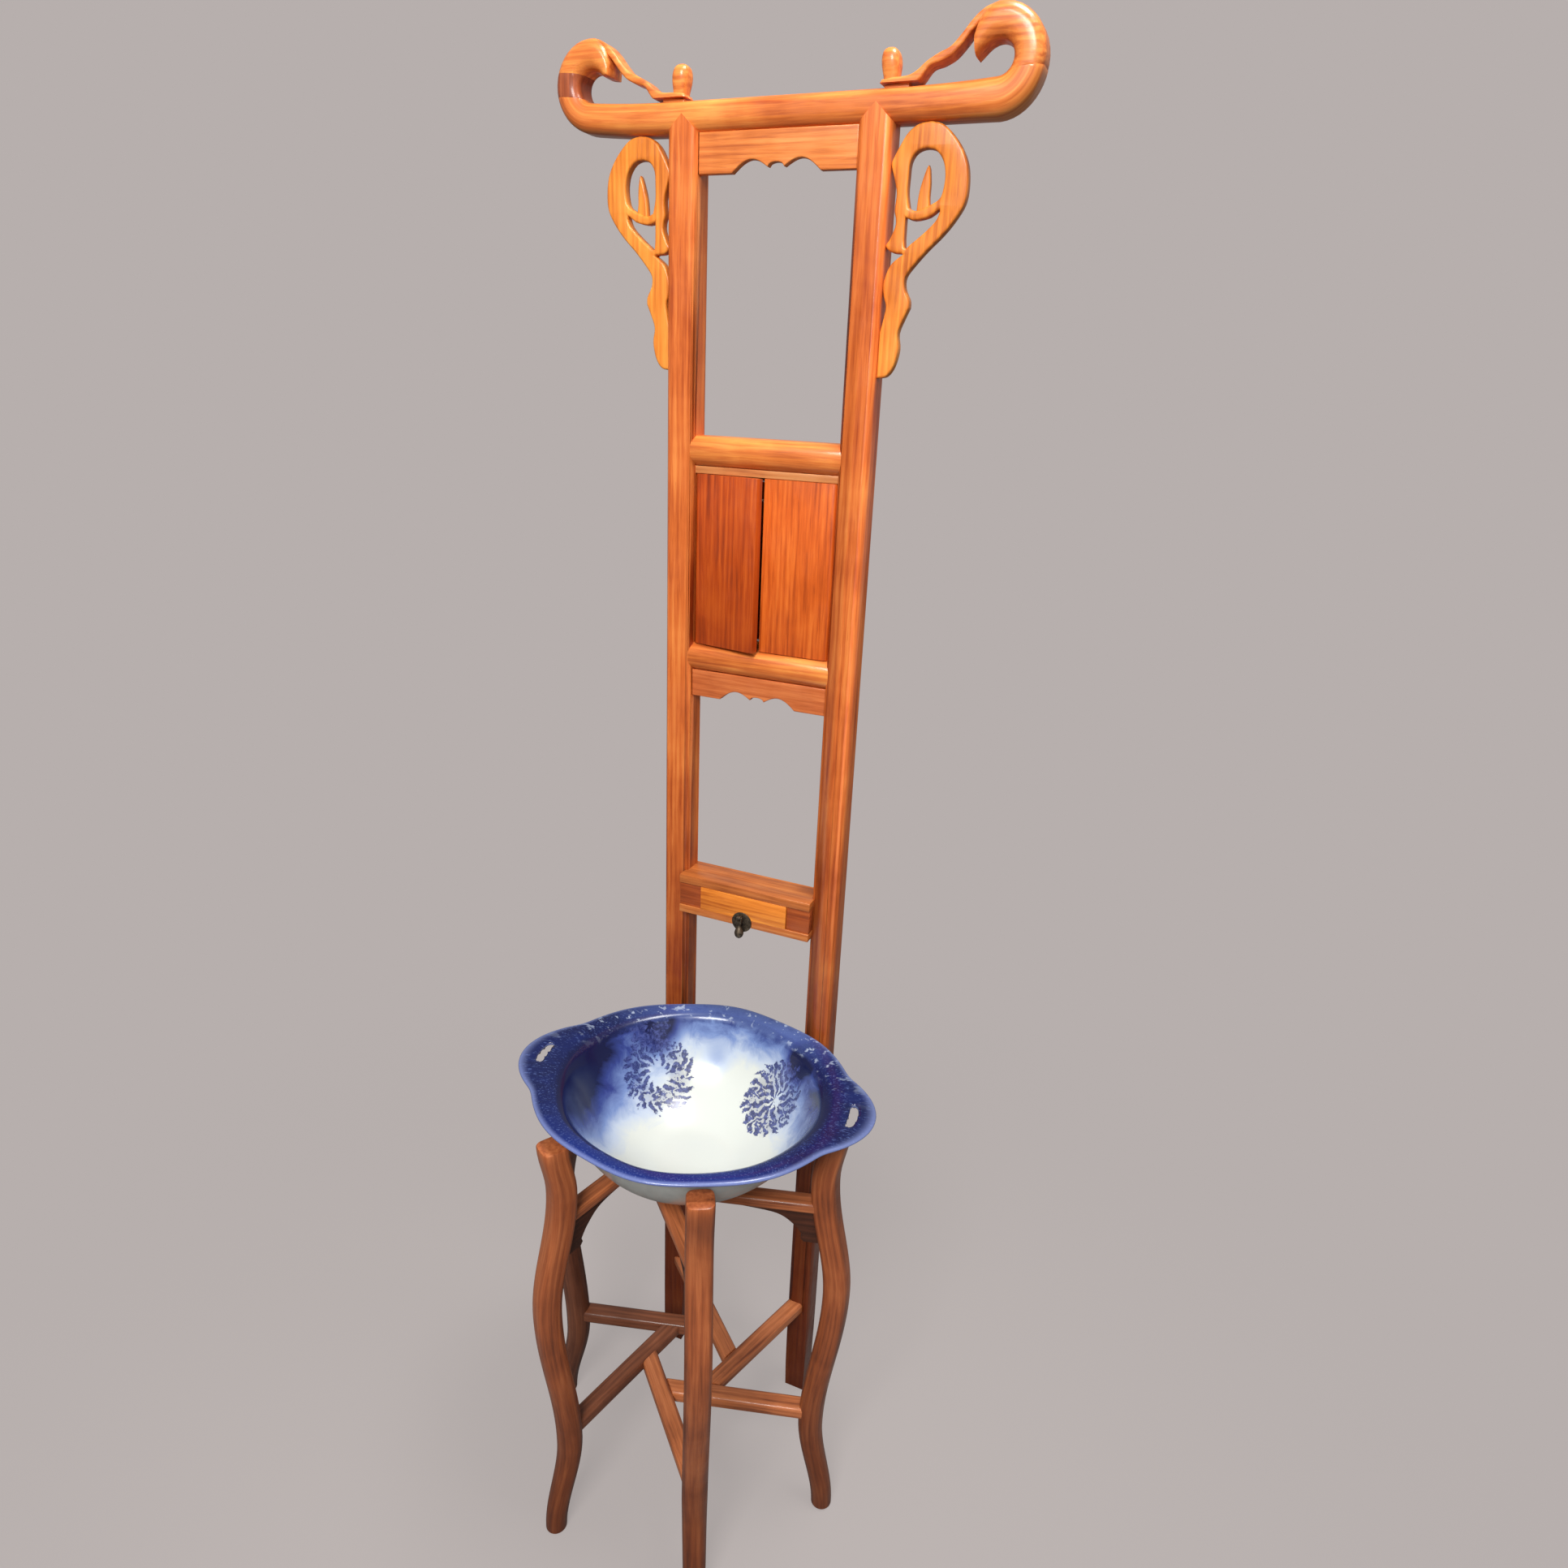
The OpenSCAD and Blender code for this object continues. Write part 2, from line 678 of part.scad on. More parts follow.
// Beak, ribbon and finial beyond the top of a curl, inwards from its centre
BEAK = [[0, curl_hole_r], [6, curl_hole_r - 1], [12, curl_hole_r - 4], [18, curl_hole_r - 9],
    [23, curl_hole_r - 12]];
BEAK_FRONT = [[23, curl_hole_r - 12], [26, curl_hole_r - 4], [25, curl_hole_r + 6],
    [20, curl_hole_r + 15]];
RIBBON_UNDER = [[20, curl_hole_r + 15], [28, curl_hole_r + 8], [36, curl_hole_r - 1],
    [46, curl_hole_r - 9]];
RIBBON_FOOT = [[46, curl_hole_r - 9], [58, curl_hole_r - 13], [70, 0], [80, 6 - curl_hole_r],
    [90, 2 - curl_hole_r]];
RIBBON_OVER = [[106, 14 - curl_hole_r], [94, 13 - curl_hole_r], [84, 15 - curl_hole_r], [73, 6], [60, 12],
    [48, curl_hole_r], [36, curl_r - 22]];
HEAD_OVER = [[36, curl_r - 22], [28, curl_r - 14], [19, curl_r - 7], [10, curl_r - 2], [0, curl_r]];
finial_x = 112.5;
finial_r = 10;
finial_h = 27;
module head_outline() {
    polygon(concat(
        curve(BEAK, 2), curve(BEAK_FRONT, 3), curve(RIBBON_UNDER, 3), curve(RIBBON_FOOT, 3),
        [[finial_x + finial_r, -curl_hole_r], [finial_x + finial_r, 14 - curl_hole_r]],
        curve(RIBBON_OVER, 3), curve(HEAD_OVER, 4)));
    translate([finial_x, -curl_hole_r + finial_h]) circle(finial_r);
    translate([finial_x - finial_r, -curl_hole_r]) square([2 * finial_r, finial_h]);
}

module crest_head(z0) {
    curl_band(z0, curl_z + curl_r + 1);
    translate([crest_bend_x, 0, curl_z]) mirror([1, 0, 0])
        upright_plate(post_back - tongue_d / 2, tongue_d) head_outline();
}

module crest_rail() {
    color("chocolate") on_ring() difference() {
        union() {
            crest_bar(-crest_bend_x, 2 * crest_bend_x);
            for (s = [-1, 1]) {
                crest_rise(s);
                lifted(s) curl_band(post_h - 1, crest_top + (s < 0 ? left_joint : right_joint));
            }
        }
        for (s = [-1, 1]) {
            post_tip(s);
            post_tenon(s);
        }
    }
}

module seated_head(side, z0) {
    color("chocolate") on_ring() difference() {
        lifted(side) crest_head(z0);
        crest_bar(-crest_bend_x, 2 * crest_bend_x);
        crest_rise(side);
    }
}

module crest_head_right() {
    seated_head(1, crest_top + right_joint);
}

module crest_head_left() {
    seated_head(-1, crest_top + left_joint + splice_h);
}

module crest_splice_left() {
    color("sienna") on_ring() lifted(-1)
        curl_band(crest_top + left_joint, crest_top + left_joint + splice_h);
}

// Drawer case, standing out before the posts on two boards let into them

module case_tongue(z, t) {
    reach = post_inner + groove;
    slab(-reach, reach, post_front + post_round, back_of_posts - post_round, z, z + t);
}

module case_board(z, t) {
    difference() {
        slab(-case_w / 2, case_w / 2, case_y, case_y + case_d, z, z + t);
        post_blank(-1, far * 3);
        post_blank(1, far * 3);
    }
    case_tongue(z, t);
}

module case_top() {
    color("peru") on_ring() case_board(case_top_z, case_top_t);
}

module case_bottom() {
    color("peru") on_ring() case_board(case_z, case_bottom_t);
}

module case_back() {
    y1 = case_y + case_d;
    color("saddlebrown") on_ring()
        slab(-post_inner, post_inner, y1 - case_back_t, y1, case_opening_z, case_top_z);
}

// Block beside the drawer: a face in front, and a guide that runs back
module case_block(side) {
    color("brown") on_ring() mirrored(side) {
        y0 = case_y + block_back;
        slab(drawer_w / 2, case_w / 2, y0, post_front, case_opening_z, case_top_z);
        slab(drawer_w / 2, drawer_w / 2 + 2 * drawer_side_t, y0, case_y + case_d - case_back_t,
            case_opening_z, case_top_z);
    }
}

// Drawer

module drawer_front() {
    z0 = case_opening_z + drawer_gap;
    x = drawer_w / 2 - drawer_gap;
    color("goldenrod") on_ring() difference() {
        slab(-x, x, drawer_y, drawer_y + drawer_front_t, z0, case_top_z - drawer_gap);
        drawer_bottom_slab();
        translate([0, drawer_y - 1, pull_z]) rotate([-90, 0, 0])
            cylinder(r = staple_r, h = drawer_front_t + 2);
    }
}

module drawer_side(side) {
    z0 = case_opening_z + drawer_gap;
    x = drawer_w / 2 - drawer_gap;
    color("peru") on_ring() mirrored(side) difference() {
        slab(x - drawer_side_t, x, drawer_y + drawer_front_t, drawer_y + drawer_len,
            z0, case_top_z - 2 * drawer_gap - 2);
        drawer_bottom_slab();
    }
}

module drawer_back() {
    x = drawer_w / 2 - drawer_gap - drawer_side_t;
    y1 = drawer_y + drawer_len;
    color("peru") on_ring()
        slab(-x, x, y1 - drawer_side_t, y1,
            case_opening_z + drawer_gap + drawer_bottom_t, case_top_z - 2 * drawer_gap - 2);
}

// The bottom lies in rebates in the sides and the front
module drawer_bottom_slab() {
    x = drawer_w / 2 - drawer_gap - drawer_side_t / 2;
    z = case_opening_z + drawer_gap;
    slab(-x, x, drawer_y + drawer_front_t / 2, drawer_y + drawer_len, z, z + drawer_bottom_t);
}

module drawer_bottom() {
    color("peru") on_ring() drawer_bottom_slab();
}

// Drawer pull: a round plate, a staple with an eye, and a drop that swings

module pull_plate() {
    color("darkkhaki") on_ring() difference() {
        translate([0, drawer_y - plate_t, pull_z - plate_drop]) rotate([-90, 0, 0])
            cylinder(r = plate_r, h = plate_t);
        translate([0, drawer_y - plate_t - 1, pull_z]) rotate([-90, 0, 0])
            cylinder(r = staple_r, h = plate_t + 2);
    }
}

module pull_staple() {
    color("darkkhaki") on_ring() difference() {
        union() {
            translate([0, drop_y, pull_z]) rotate([-90, 0, 0])
                cylinder(r = staple_r, h = drawer_y + drawer_front_t - drop_y + 2);
            translate([-eye_w / 2, drop_y, pull_z]) rotate([0, 90, 0]) cylinder(r = eye_r, h = eye_w);
        }
        translate([-eye_w, drop_y, pull_z]) rotate([0, 90, 0])
            cylinder(r = drop_pin_r + drop_fit, h = 2 * eye_w);
    }
}

drop_ear_t = 1.5;
module pull_drop() {
    ear_x = eye_w / 2 + 0.3;
    reach = ear_x + drop_ear_t;
    neck = pull_z - eye_r - 2;
    tip = pull_z - drop_len;
    color("darkkhaki") on_ring() {
        translate([-reach, drop_y, pull_z]) rotate([0, 90, 0]) cylinder(r = drop_pin_r, h = 2 * reach);
        for (s = [-1, 1])
            mirrored(s) {
                translate([ear_x, drop_y, pull_z]) rotate([0, 90, 0]) cylinder(r = 2, h = drop_ear_t);
                slab(ear_x, reach, drop_y - 2, drop_y + 2, neck - 2, pull_z);
            }
        slab(-reach, reach, drop_y - 2, drop_y + 2, neck - 3, neck);
        translate([0, drop_y, tip]) rotate_extrude()
            polygon(concat([[0, 0]],
                curve([[1.5, 0], [5, 3], [drop_r, 8], [5.2, 13], [2.6, 19], [2, neck - tip - 1]]),
                [[0, neck - tip - 1]]));
    }
}

// Wash bowl: rings through a hand-set profile. Each point gives radius,
// height, share of the scallops and share of the handles.

bowl_neck = leg_top_r - leg_w / 2 - bowl_front * sin(60) - bowl_right / 2 - 1.4;
BOWL_PROFILE = [
    [56, 4, 0, 0], [59, 0, 0, 0], [68, 0, 0, 0], [70, 5, 0, 0], [bowl_neck - 84, 13, 0, 0],
    [bowl_neck - 52, 37, 0, 0], [bowl_neck - 22, 67, 0, 0], [bowl_neck - 6, 97, 0, 0],
    [bowl_neck, bowl_h - 27, 0, 0],
    [bowl_neck + 10, bowl_h - 17, 0.35, 0.1], [bowl_r - 6, bowl_h - 8, 0.8, 0.7],
    [bowl_r, bowl_h - 4, 1, 1], [bowl_r - 1, bowl_h, 1, 1], [bowl_r - 6, bowl_h, 0.95, 0.9],
    [bowl_r - 14, bowl_h - 5, 0.6, 0.4], [bowl_neck + 3, bowl_h - 14, 0.15, 0],
    [bowl_neck - bowl_wall, bowl_h - 29, 0, 0], [bowl_neck - 7 - bowl_wall, 96, 0, 0],
    [bowl_neck - 23 - bowl_wall, 70, 0, 0], [bowl_neck - 53 - bowl_wall, 42, 0, 0],
    [bowl_neck - 90, 18 + bowl_wall, 0, 0], [52, 7 + bowl_wall, 0, 0]];
BOWL_POINTS = 72;
handle_half = 22;
function off_axis(a) = min(abs(a), abs(a - 180), abs(a - 360));
function handle(a) = off_axis(a) > handle_half ? 0 : handle_reach * cos(90 * off_axis(a) / handle_half);
function rim(a) = bowl_oval * abs(cos(a)) ^ 3 + bowl_scallop * cos(bowl_lobes * a);
function bowl_ring(p) = [for (j = [0:BOWL_POINTS - 1])
    let (a = 360 * j / BOWL_POINTS, r = p[0] + p[2] * rim(a) + p[3] * handle(a))
    [r * cos(a), r * sin(a), p[1]]];

module finger_slot(side) {
    mid = bowl_r + bowl_oval - 1;
    end = slot_len / 2 - slot_w / 2;
    rotate([0, 0, side < 0 ? 180 : 0]) translate([mid, 0, bowl_h - 40]) linear_extrude(60) {
        square([slot_w, 2 * end], center = true);
        translate([0, end]) circle(slot_w / 2);
        translate([0, -end]) circle(slot_w / 2);
    }
}

module wash_bowl() {
    color("lavender") on_ring() translate([bowl_right, -bowl_front, bowl_z]) rotate([0, 0, bowl_turn])
        difference() {
            skin([for (p = BOWL_PROFILE) bowl_ring(p)]);
            finger_slot(-1);
            finger_slot(1);
        }
}

post(-1);  // left_post
post(1);  // right_post
leg(0);  // leg_right
leg(3);  // leg_left
leg(4);  // leg_front_left
leg(5);  // leg_front_right
for (k = [0:5]) lower_stretcher(k);
for (k = [0:5]) upper_stretcher(k);
for (k = [0:5]) arched_brace(k);
stretcher_nails();
crest_rail();
crest_head_left();
crest_head_right();
crest_splice_left();
upper_apron();
lower_apron();
side_bracket(-1);  // side_bracket_left
side_bracket(1);  // side_bracket_right
upper_door_rail();
lower_door_rail();
door_head_strip();
left_door();
right_door();
mirror_glass();  // mirror
mirror_backboard();
case_top();
case_bottom();
case_back();
case_block(-1);  // case_block_left
case_block(1);  // case_block_right
drawer_front();
drawer_side(-1);  // drawer_side_left
drawer_side(1);  // drawer_side_right
drawer_back();
drawer_bottom();
pull_plate();
pull_staple();
pull_drop();
wash_bowl();
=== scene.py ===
"""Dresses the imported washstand: new pieces over the solids, their finishes, and a plain studio."""

import logging
import math
from collections.abc import Sequence
from dataclasses import dataclass
from enum import Enum

import bmesh
import bpy
from mathutils import Matrix, Vector


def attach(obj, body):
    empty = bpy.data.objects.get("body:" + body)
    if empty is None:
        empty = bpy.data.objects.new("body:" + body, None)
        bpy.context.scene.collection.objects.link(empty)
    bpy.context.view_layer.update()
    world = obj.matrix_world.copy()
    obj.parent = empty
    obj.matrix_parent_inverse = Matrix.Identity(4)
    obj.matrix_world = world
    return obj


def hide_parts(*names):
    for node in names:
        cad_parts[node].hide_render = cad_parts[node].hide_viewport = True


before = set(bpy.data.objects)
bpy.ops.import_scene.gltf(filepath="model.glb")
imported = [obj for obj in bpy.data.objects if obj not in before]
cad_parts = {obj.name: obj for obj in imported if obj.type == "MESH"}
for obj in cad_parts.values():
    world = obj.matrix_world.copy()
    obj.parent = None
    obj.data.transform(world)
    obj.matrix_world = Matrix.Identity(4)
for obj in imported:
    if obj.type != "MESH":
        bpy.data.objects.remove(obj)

log = logging.getLogger("washstand")
MM = 0.001
# The middle of the ring of feet lies this far behind the origin, in millimetres.
RING_Y = 9.369517385155604
BACK, UP = Vector((0, 1, 0)), Vector((0, 0, 1))
MIRROR = Matrix.Diagonal((-1, 1, 1, 1))
Colour = tuple[float, float, float]
Point = tuple[float, float]


def tint(screen: str) -> Colour:
    """Turns a screen colour in hex into the linear values that shaders take."""
    return tuple(((c / 255 + 0.055) / 1.055) ** 2.4 for c in bytes.fromhex(screen))


def smooth_line(points: Sequence[Point], steps: int = 4) -> list[Point]:
    """Runs a smooth curve through given points.

    Args:
        points: The points to pass through.
        steps: Pieces between two neighbouring points.

    Returns:
        The points of the curve, its ends included.
    """
    line: list[Point] = []
    last = len(points) - 1
    for i in range(last):
        a, b = points[max(i - 1, 0)], points[i]
        c, d = points[i + 1], points[min(i + 2, last)]
        for s in range(steps):
            t = s / steps
            line.append(tuple(
                0.5 * (2 * b[n] + (c[n] - a[n]) * t + (2 * a[n] - 5 * b[n] + 4 * c[n] - d[n]) * t * t
                       + (3 * b[n] - a[n] - 3 * c[n] + d[n]) * t ** 3) for n in (0, 1)))
    return line + [tuple(points[last])]


def shown(name: str, data: bpy.types.ID) -> bpy.types.Object:
    """Puts an object that shows a mesh, lamp or camera in the scene."""
    made = bpy.data.objects.new(name, data)
    bpy.context.scene.collection.objects.link(made)
    return made


def turned(angle: float) -> Matrix:
    """Returns a turn about the upright axis by an angle in degrees."""
    return Matrix.Rotation(math.radians(angle), 4, "Z")


def placed(origin: Vector, right: Vector, up: Vector, scale: Point = (1.0, 1.0)) -> Matrix:
    """Returns what brings a flat section to a place, with where its two directions point."""
    ahead = right.cross(up)
    turn = Matrix((right, up, ahead)).transposed().to_4x4()
    return Matrix.Translation(origin) @ turn @ Matrix.Diagonal((scale[0], scale[1], 1, 1))


class Grain(Enum):
    """The way in which the fibres run: the turn that stands them upright, or none for a sweep."""

    ACROSS = (0, math.pi / 2, 0)
    DEEP = (math.pi / 2, 0, 0)
    UPRIGHT = (0, 0, 0)
    SWEPT = None


ACROSS, DEEP, UPRIGHT, SWEPT = Grain


class Blank:
    """A piece in the making, in millimetres from the middle of the ring of feet."""

    def __init__(self) -> None:
        """Starts an empty mesh that remembers how its grain runs."""
        self.mesh = bmesh.new()
        self.mesh.verts.layers.float_vector.new("grain")

    @property
    def grain(self) -> bmesh.types.BMLayerItem:
        """Returns the layer that holds the grain's coordinates."""
        return self.mesh.verts.layers.float_vector["grain"]

    def section(self, width: float, height: float, front: float, back: float, steps: int = 6) -> None:
        """Draws a flat section with round corners.

        Args:
            width: Size along the section's first direction.
            height: Size along the second.
            front: Radius of the two corners on the first direction's low side.
            back: Radius of the other two.
            steps: Pieces in each corner.
        """
        verts = bmesh.ops.create_grid(self.mesh, x_segments=1, y_segments=1, size=0.5)["verts"]
        bmesh.ops.scale(self.mesh, vec=(width, height, 1), verts=verts)
        for side, radius in ((-1, front), (1, back)):
            corners = [v for v in self.mesh.verts if v.co.x * side > width / 2 - 1e-4]
            bmesh.ops.bevel(self.mesh, geom=corners, offset=radius, offset_type="OFFSET",
                            segments=steps, profile=0.5, affect="VERTICES", material=-1)
        for vert in self.mesh.verts:
            vert[self.grain] = vert.co * MM

    def grow(self, edges: list[bmesh.types.BMEdge]) -> tuple[list, list]:
        """Extrudes a loop on the spot and returns its new points and edges."""
        made = bmesh.ops.extrude_edge_only(self.mesh, edges=edges)["geom"]
        verts = [g for g in made if isinstance(g, bmesh.types.BMVert)]
        known = set(verts)
        return verts, [g for g in made if isinstance(g, bmesh.types.BMEdge) and set(g.verts) <= known]

    def sweep(self, stations: list[Matrix]) -> None:
        """Extrudes the flat section through a row of places, from one end to the other."""
        mesh = self.mesh
        bmesh.ops.transform(mesh, matrix=stations[0], verts=mesh.verts)
        edges = [e for e in mesh.edges if e.is_boundary]
        travelled = 0.0
        for before, after in zip(stations, stations[1:]):
            travelled += (after.translation - before.translation).length
            verts, edges = self.grow(edges)
            bmesh.ops.transform(mesh, matrix=after @ before.inverted(), verts=verts)
            for vert in verts:
                start = vert[self.grain]
                vert[self.grain] = (start[0], start[1], travelled * MM)
        bmesh.ops.contextual_create(mesh, geom=edges)

    def plate(self, outline: list[Point], thickness: float, edge: float,
              holes: list[list[Point]] | None = None, steps: int = 3) -> None:
        """Makes an upright plate with eased edges from a flat outline.

        Args:
            outline: Points across and up.
            thickness: Size from front to back, half of it to each side.
            edge: Radius of the eased edges.
            holes: Outlines of openings.
            steps: Pieces in an eased edge.
        """
        flat = bpy.data.curves.new("flat", "CURVE")
        flat.dimensions = "2D"
        flat.fill_mode = "BOTH"
        flat.extrude = thickness / 2 - edge
        flat.bevel_depth = edge
        flat.bevel_resolution = steps
        flat.offset = -edge
        for loop in [outline, *(holes or [])]:
            spline = flat.splines.new("POLY")
            spline.points.add(len(loop) - 1)
            for point, (x, y) in zip(spline.points, loop):
                point.co = (x, y, 0, 1)
            spline.use_cyclic_u = True
        holder = bpy.data.objects.new("flat", flat)
        mesh = bpy.data.meshes.new_from_object(holder)
        self.mesh.from_mesh(mesh)
        bpy.data.objects.remove(holder)
        bpy.data.curves.remove(flat)
        bpy.data.meshes.remove(mesh)
        bmesh.ops.remove_doubles(self.mesh, verts=self.mesh.verts, dist=0.002)
        bmesh.ops.rotate(self.mesh, matrix=Matrix.Rotation(math.pi / 2, 3, "X"), verts=self.mesh.verts)

    def cut(self, point: Vector, normal: Vector, beyond: float | None = None) -> None:
        """Removes what lies beyond a plane and closes the cut.

        Args:
            point: A point of the plane.
            normal: The direction in which everything goes.
            beyond: Only faces farther out than this on the point's side are cut.
        """
        mesh = self.mesh
        faces = [f for f in mesh.faces
                 if beyond is None or f.calc_center_median().x * math.copysign(1, point.x) > beyond]
        geom = list({g for f in faces for g in (*f.verts, *f.edges)}) + faces
        made = bmesh.ops.bisect_plane(mesh, geom=geom, dist=1e-4, plane_co=point, plane_no=normal,
                                      clear_outer=True)["geom_cut"]
        edges = [g for g in made if isinstance(g, bmesh.types.BMEdge)]
        bmesh.ops.holes_fill(mesh, edges=edges, sides=0)

    def ease(self, width: float, angle: float = 40, steps: int = 2) -> None:
        """Rounds the sharp edges.

        Args:
            width: How much of each face the rounding takes.
            angle: Edges sharper than this are rounded, in degrees.
            steps: Pieces across a rounded edge.
        """
        sharp = [e for e in self.mesh.edges
                 if len(e.link_faces) == 2 and e.calc_face_angle() > math.radians(angle)]
        bmesh.ops.bevel(self.mesh, geom=sharp, offset=width, offset_type="OFFSET", segments=steps,
                        profile=0.5, affect="EDGES", material=-1, clamp_overlap=True)

    def move(self, matrix: Matrix) -> None:
        """Moves the whole mesh by a matrix."""
        bmesh.ops.transform(self.mesh, matrix=matrix, verts=self.mesh.verts)

    def join(self, other: "Blank") -> None:
        """Takes in another blank, which is used up."""
        mesh = bpy.data.meshes.new("joined")
        other.mesh.to_mesh(mesh)
        other.mesh.free()
        self.mesh.from_mesh(mesh)
        bpy.data.meshes.remove(mesh)

    def copy_of(self, node: str) -> None:
        """Takes a merged copy of a solid, with flat faces made whole."""
        self.mesh.from_mesh(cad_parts[node].data)
        bmesh.ops.remove_doubles(self.mesh, verts=self.mesh.verts, dist=2e-6)
        bmesh.ops.dissolve_limit(self.mesh, angle_limit=math.radians(0.6), verts=self.mesh.verts,
                                 edges=self.mesh.edges, use_dissolve_boundaries=False)
        self.move(Matrix.Translation((0, -RING_Y, 0)) @ Matrix.Scale(1 / MM, 4))

    def piece(self, name: str, finish: "Finish", grain: Grain, body: str = "stand", levels: int = 0,
              angle: float = 34) -> None:
        """Turns the blank into a finished piece that stands for the solid of its name.

        Args:
            name: The piece's and the solid's name.
            finish: What it is finished in.
            grain: How its grain runs.
            body: The body that it rides on.
            levels: Levels of subdivision.
            angle: Edges sharper than this stay crisp, in degrees.
        """
        bm = self.mesh
        bmesh.ops.remove_doubles(bm, verts=bm.verts, dist=1e-3)
        bmesh.ops.recalc_face_normals(bm, faces=bm.faces)
        self.move(Matrix.Scale(MM, 4) @ Matrix.Translation((0, RING_Y, 0)))
        mesh = bpy.data.meshes.new(name)
        bm.to_mesh(mesh)
        bm.free()
        mesh.shade_smooth()
        mesh.set_sharp_from_angle(angle=math.radians(angle))
        made = shown(name, mesh)
        if levels:
            smooth = made.modifiers.new("smooth", "SUBSURF")
            smooth.levels = smooth.render_levels = levels
        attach(made, body)
        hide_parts(name)
        finish.dress(made, grain)
        log.info("%s: %d faces on %s", name, len(mesh.polygons), body)


# Finishes


class Value:
    """A number that flows through a material's nodes, and on which sums can be written."""

    def __init__(self, graph: "Graph", socket: bpy.types.NodeSocket) -> None:
        """Wraps an output of a node."""
        self.graph, self.socket = graph, socket

    def __add__(self, other: "Value | float") -> "Value":
        """Adds another value."""
        return self.graph.math("ADD", self, other)

    def __sub__(self, other: "Value | float") -> "Value":
        """Takes another value away."""
        return self.graph.math("SUBTRACT", self, other)

    def __rsub__(self, other: float) -> "Value":
        """Takes this value away from a number."""
        return self.graph.math("SUBTRACT", other, self)

    def __mul__(self, other: "Value | float") -> "Value":
        """Multiplies by another value."""
        return self.graph.math("MULTIPLY", self, other)

    def __truediv__(self, other: "Value | float") -> "Value":
        """Divides by another value."""
        return self.graph.math("DIVIDE", self, other)


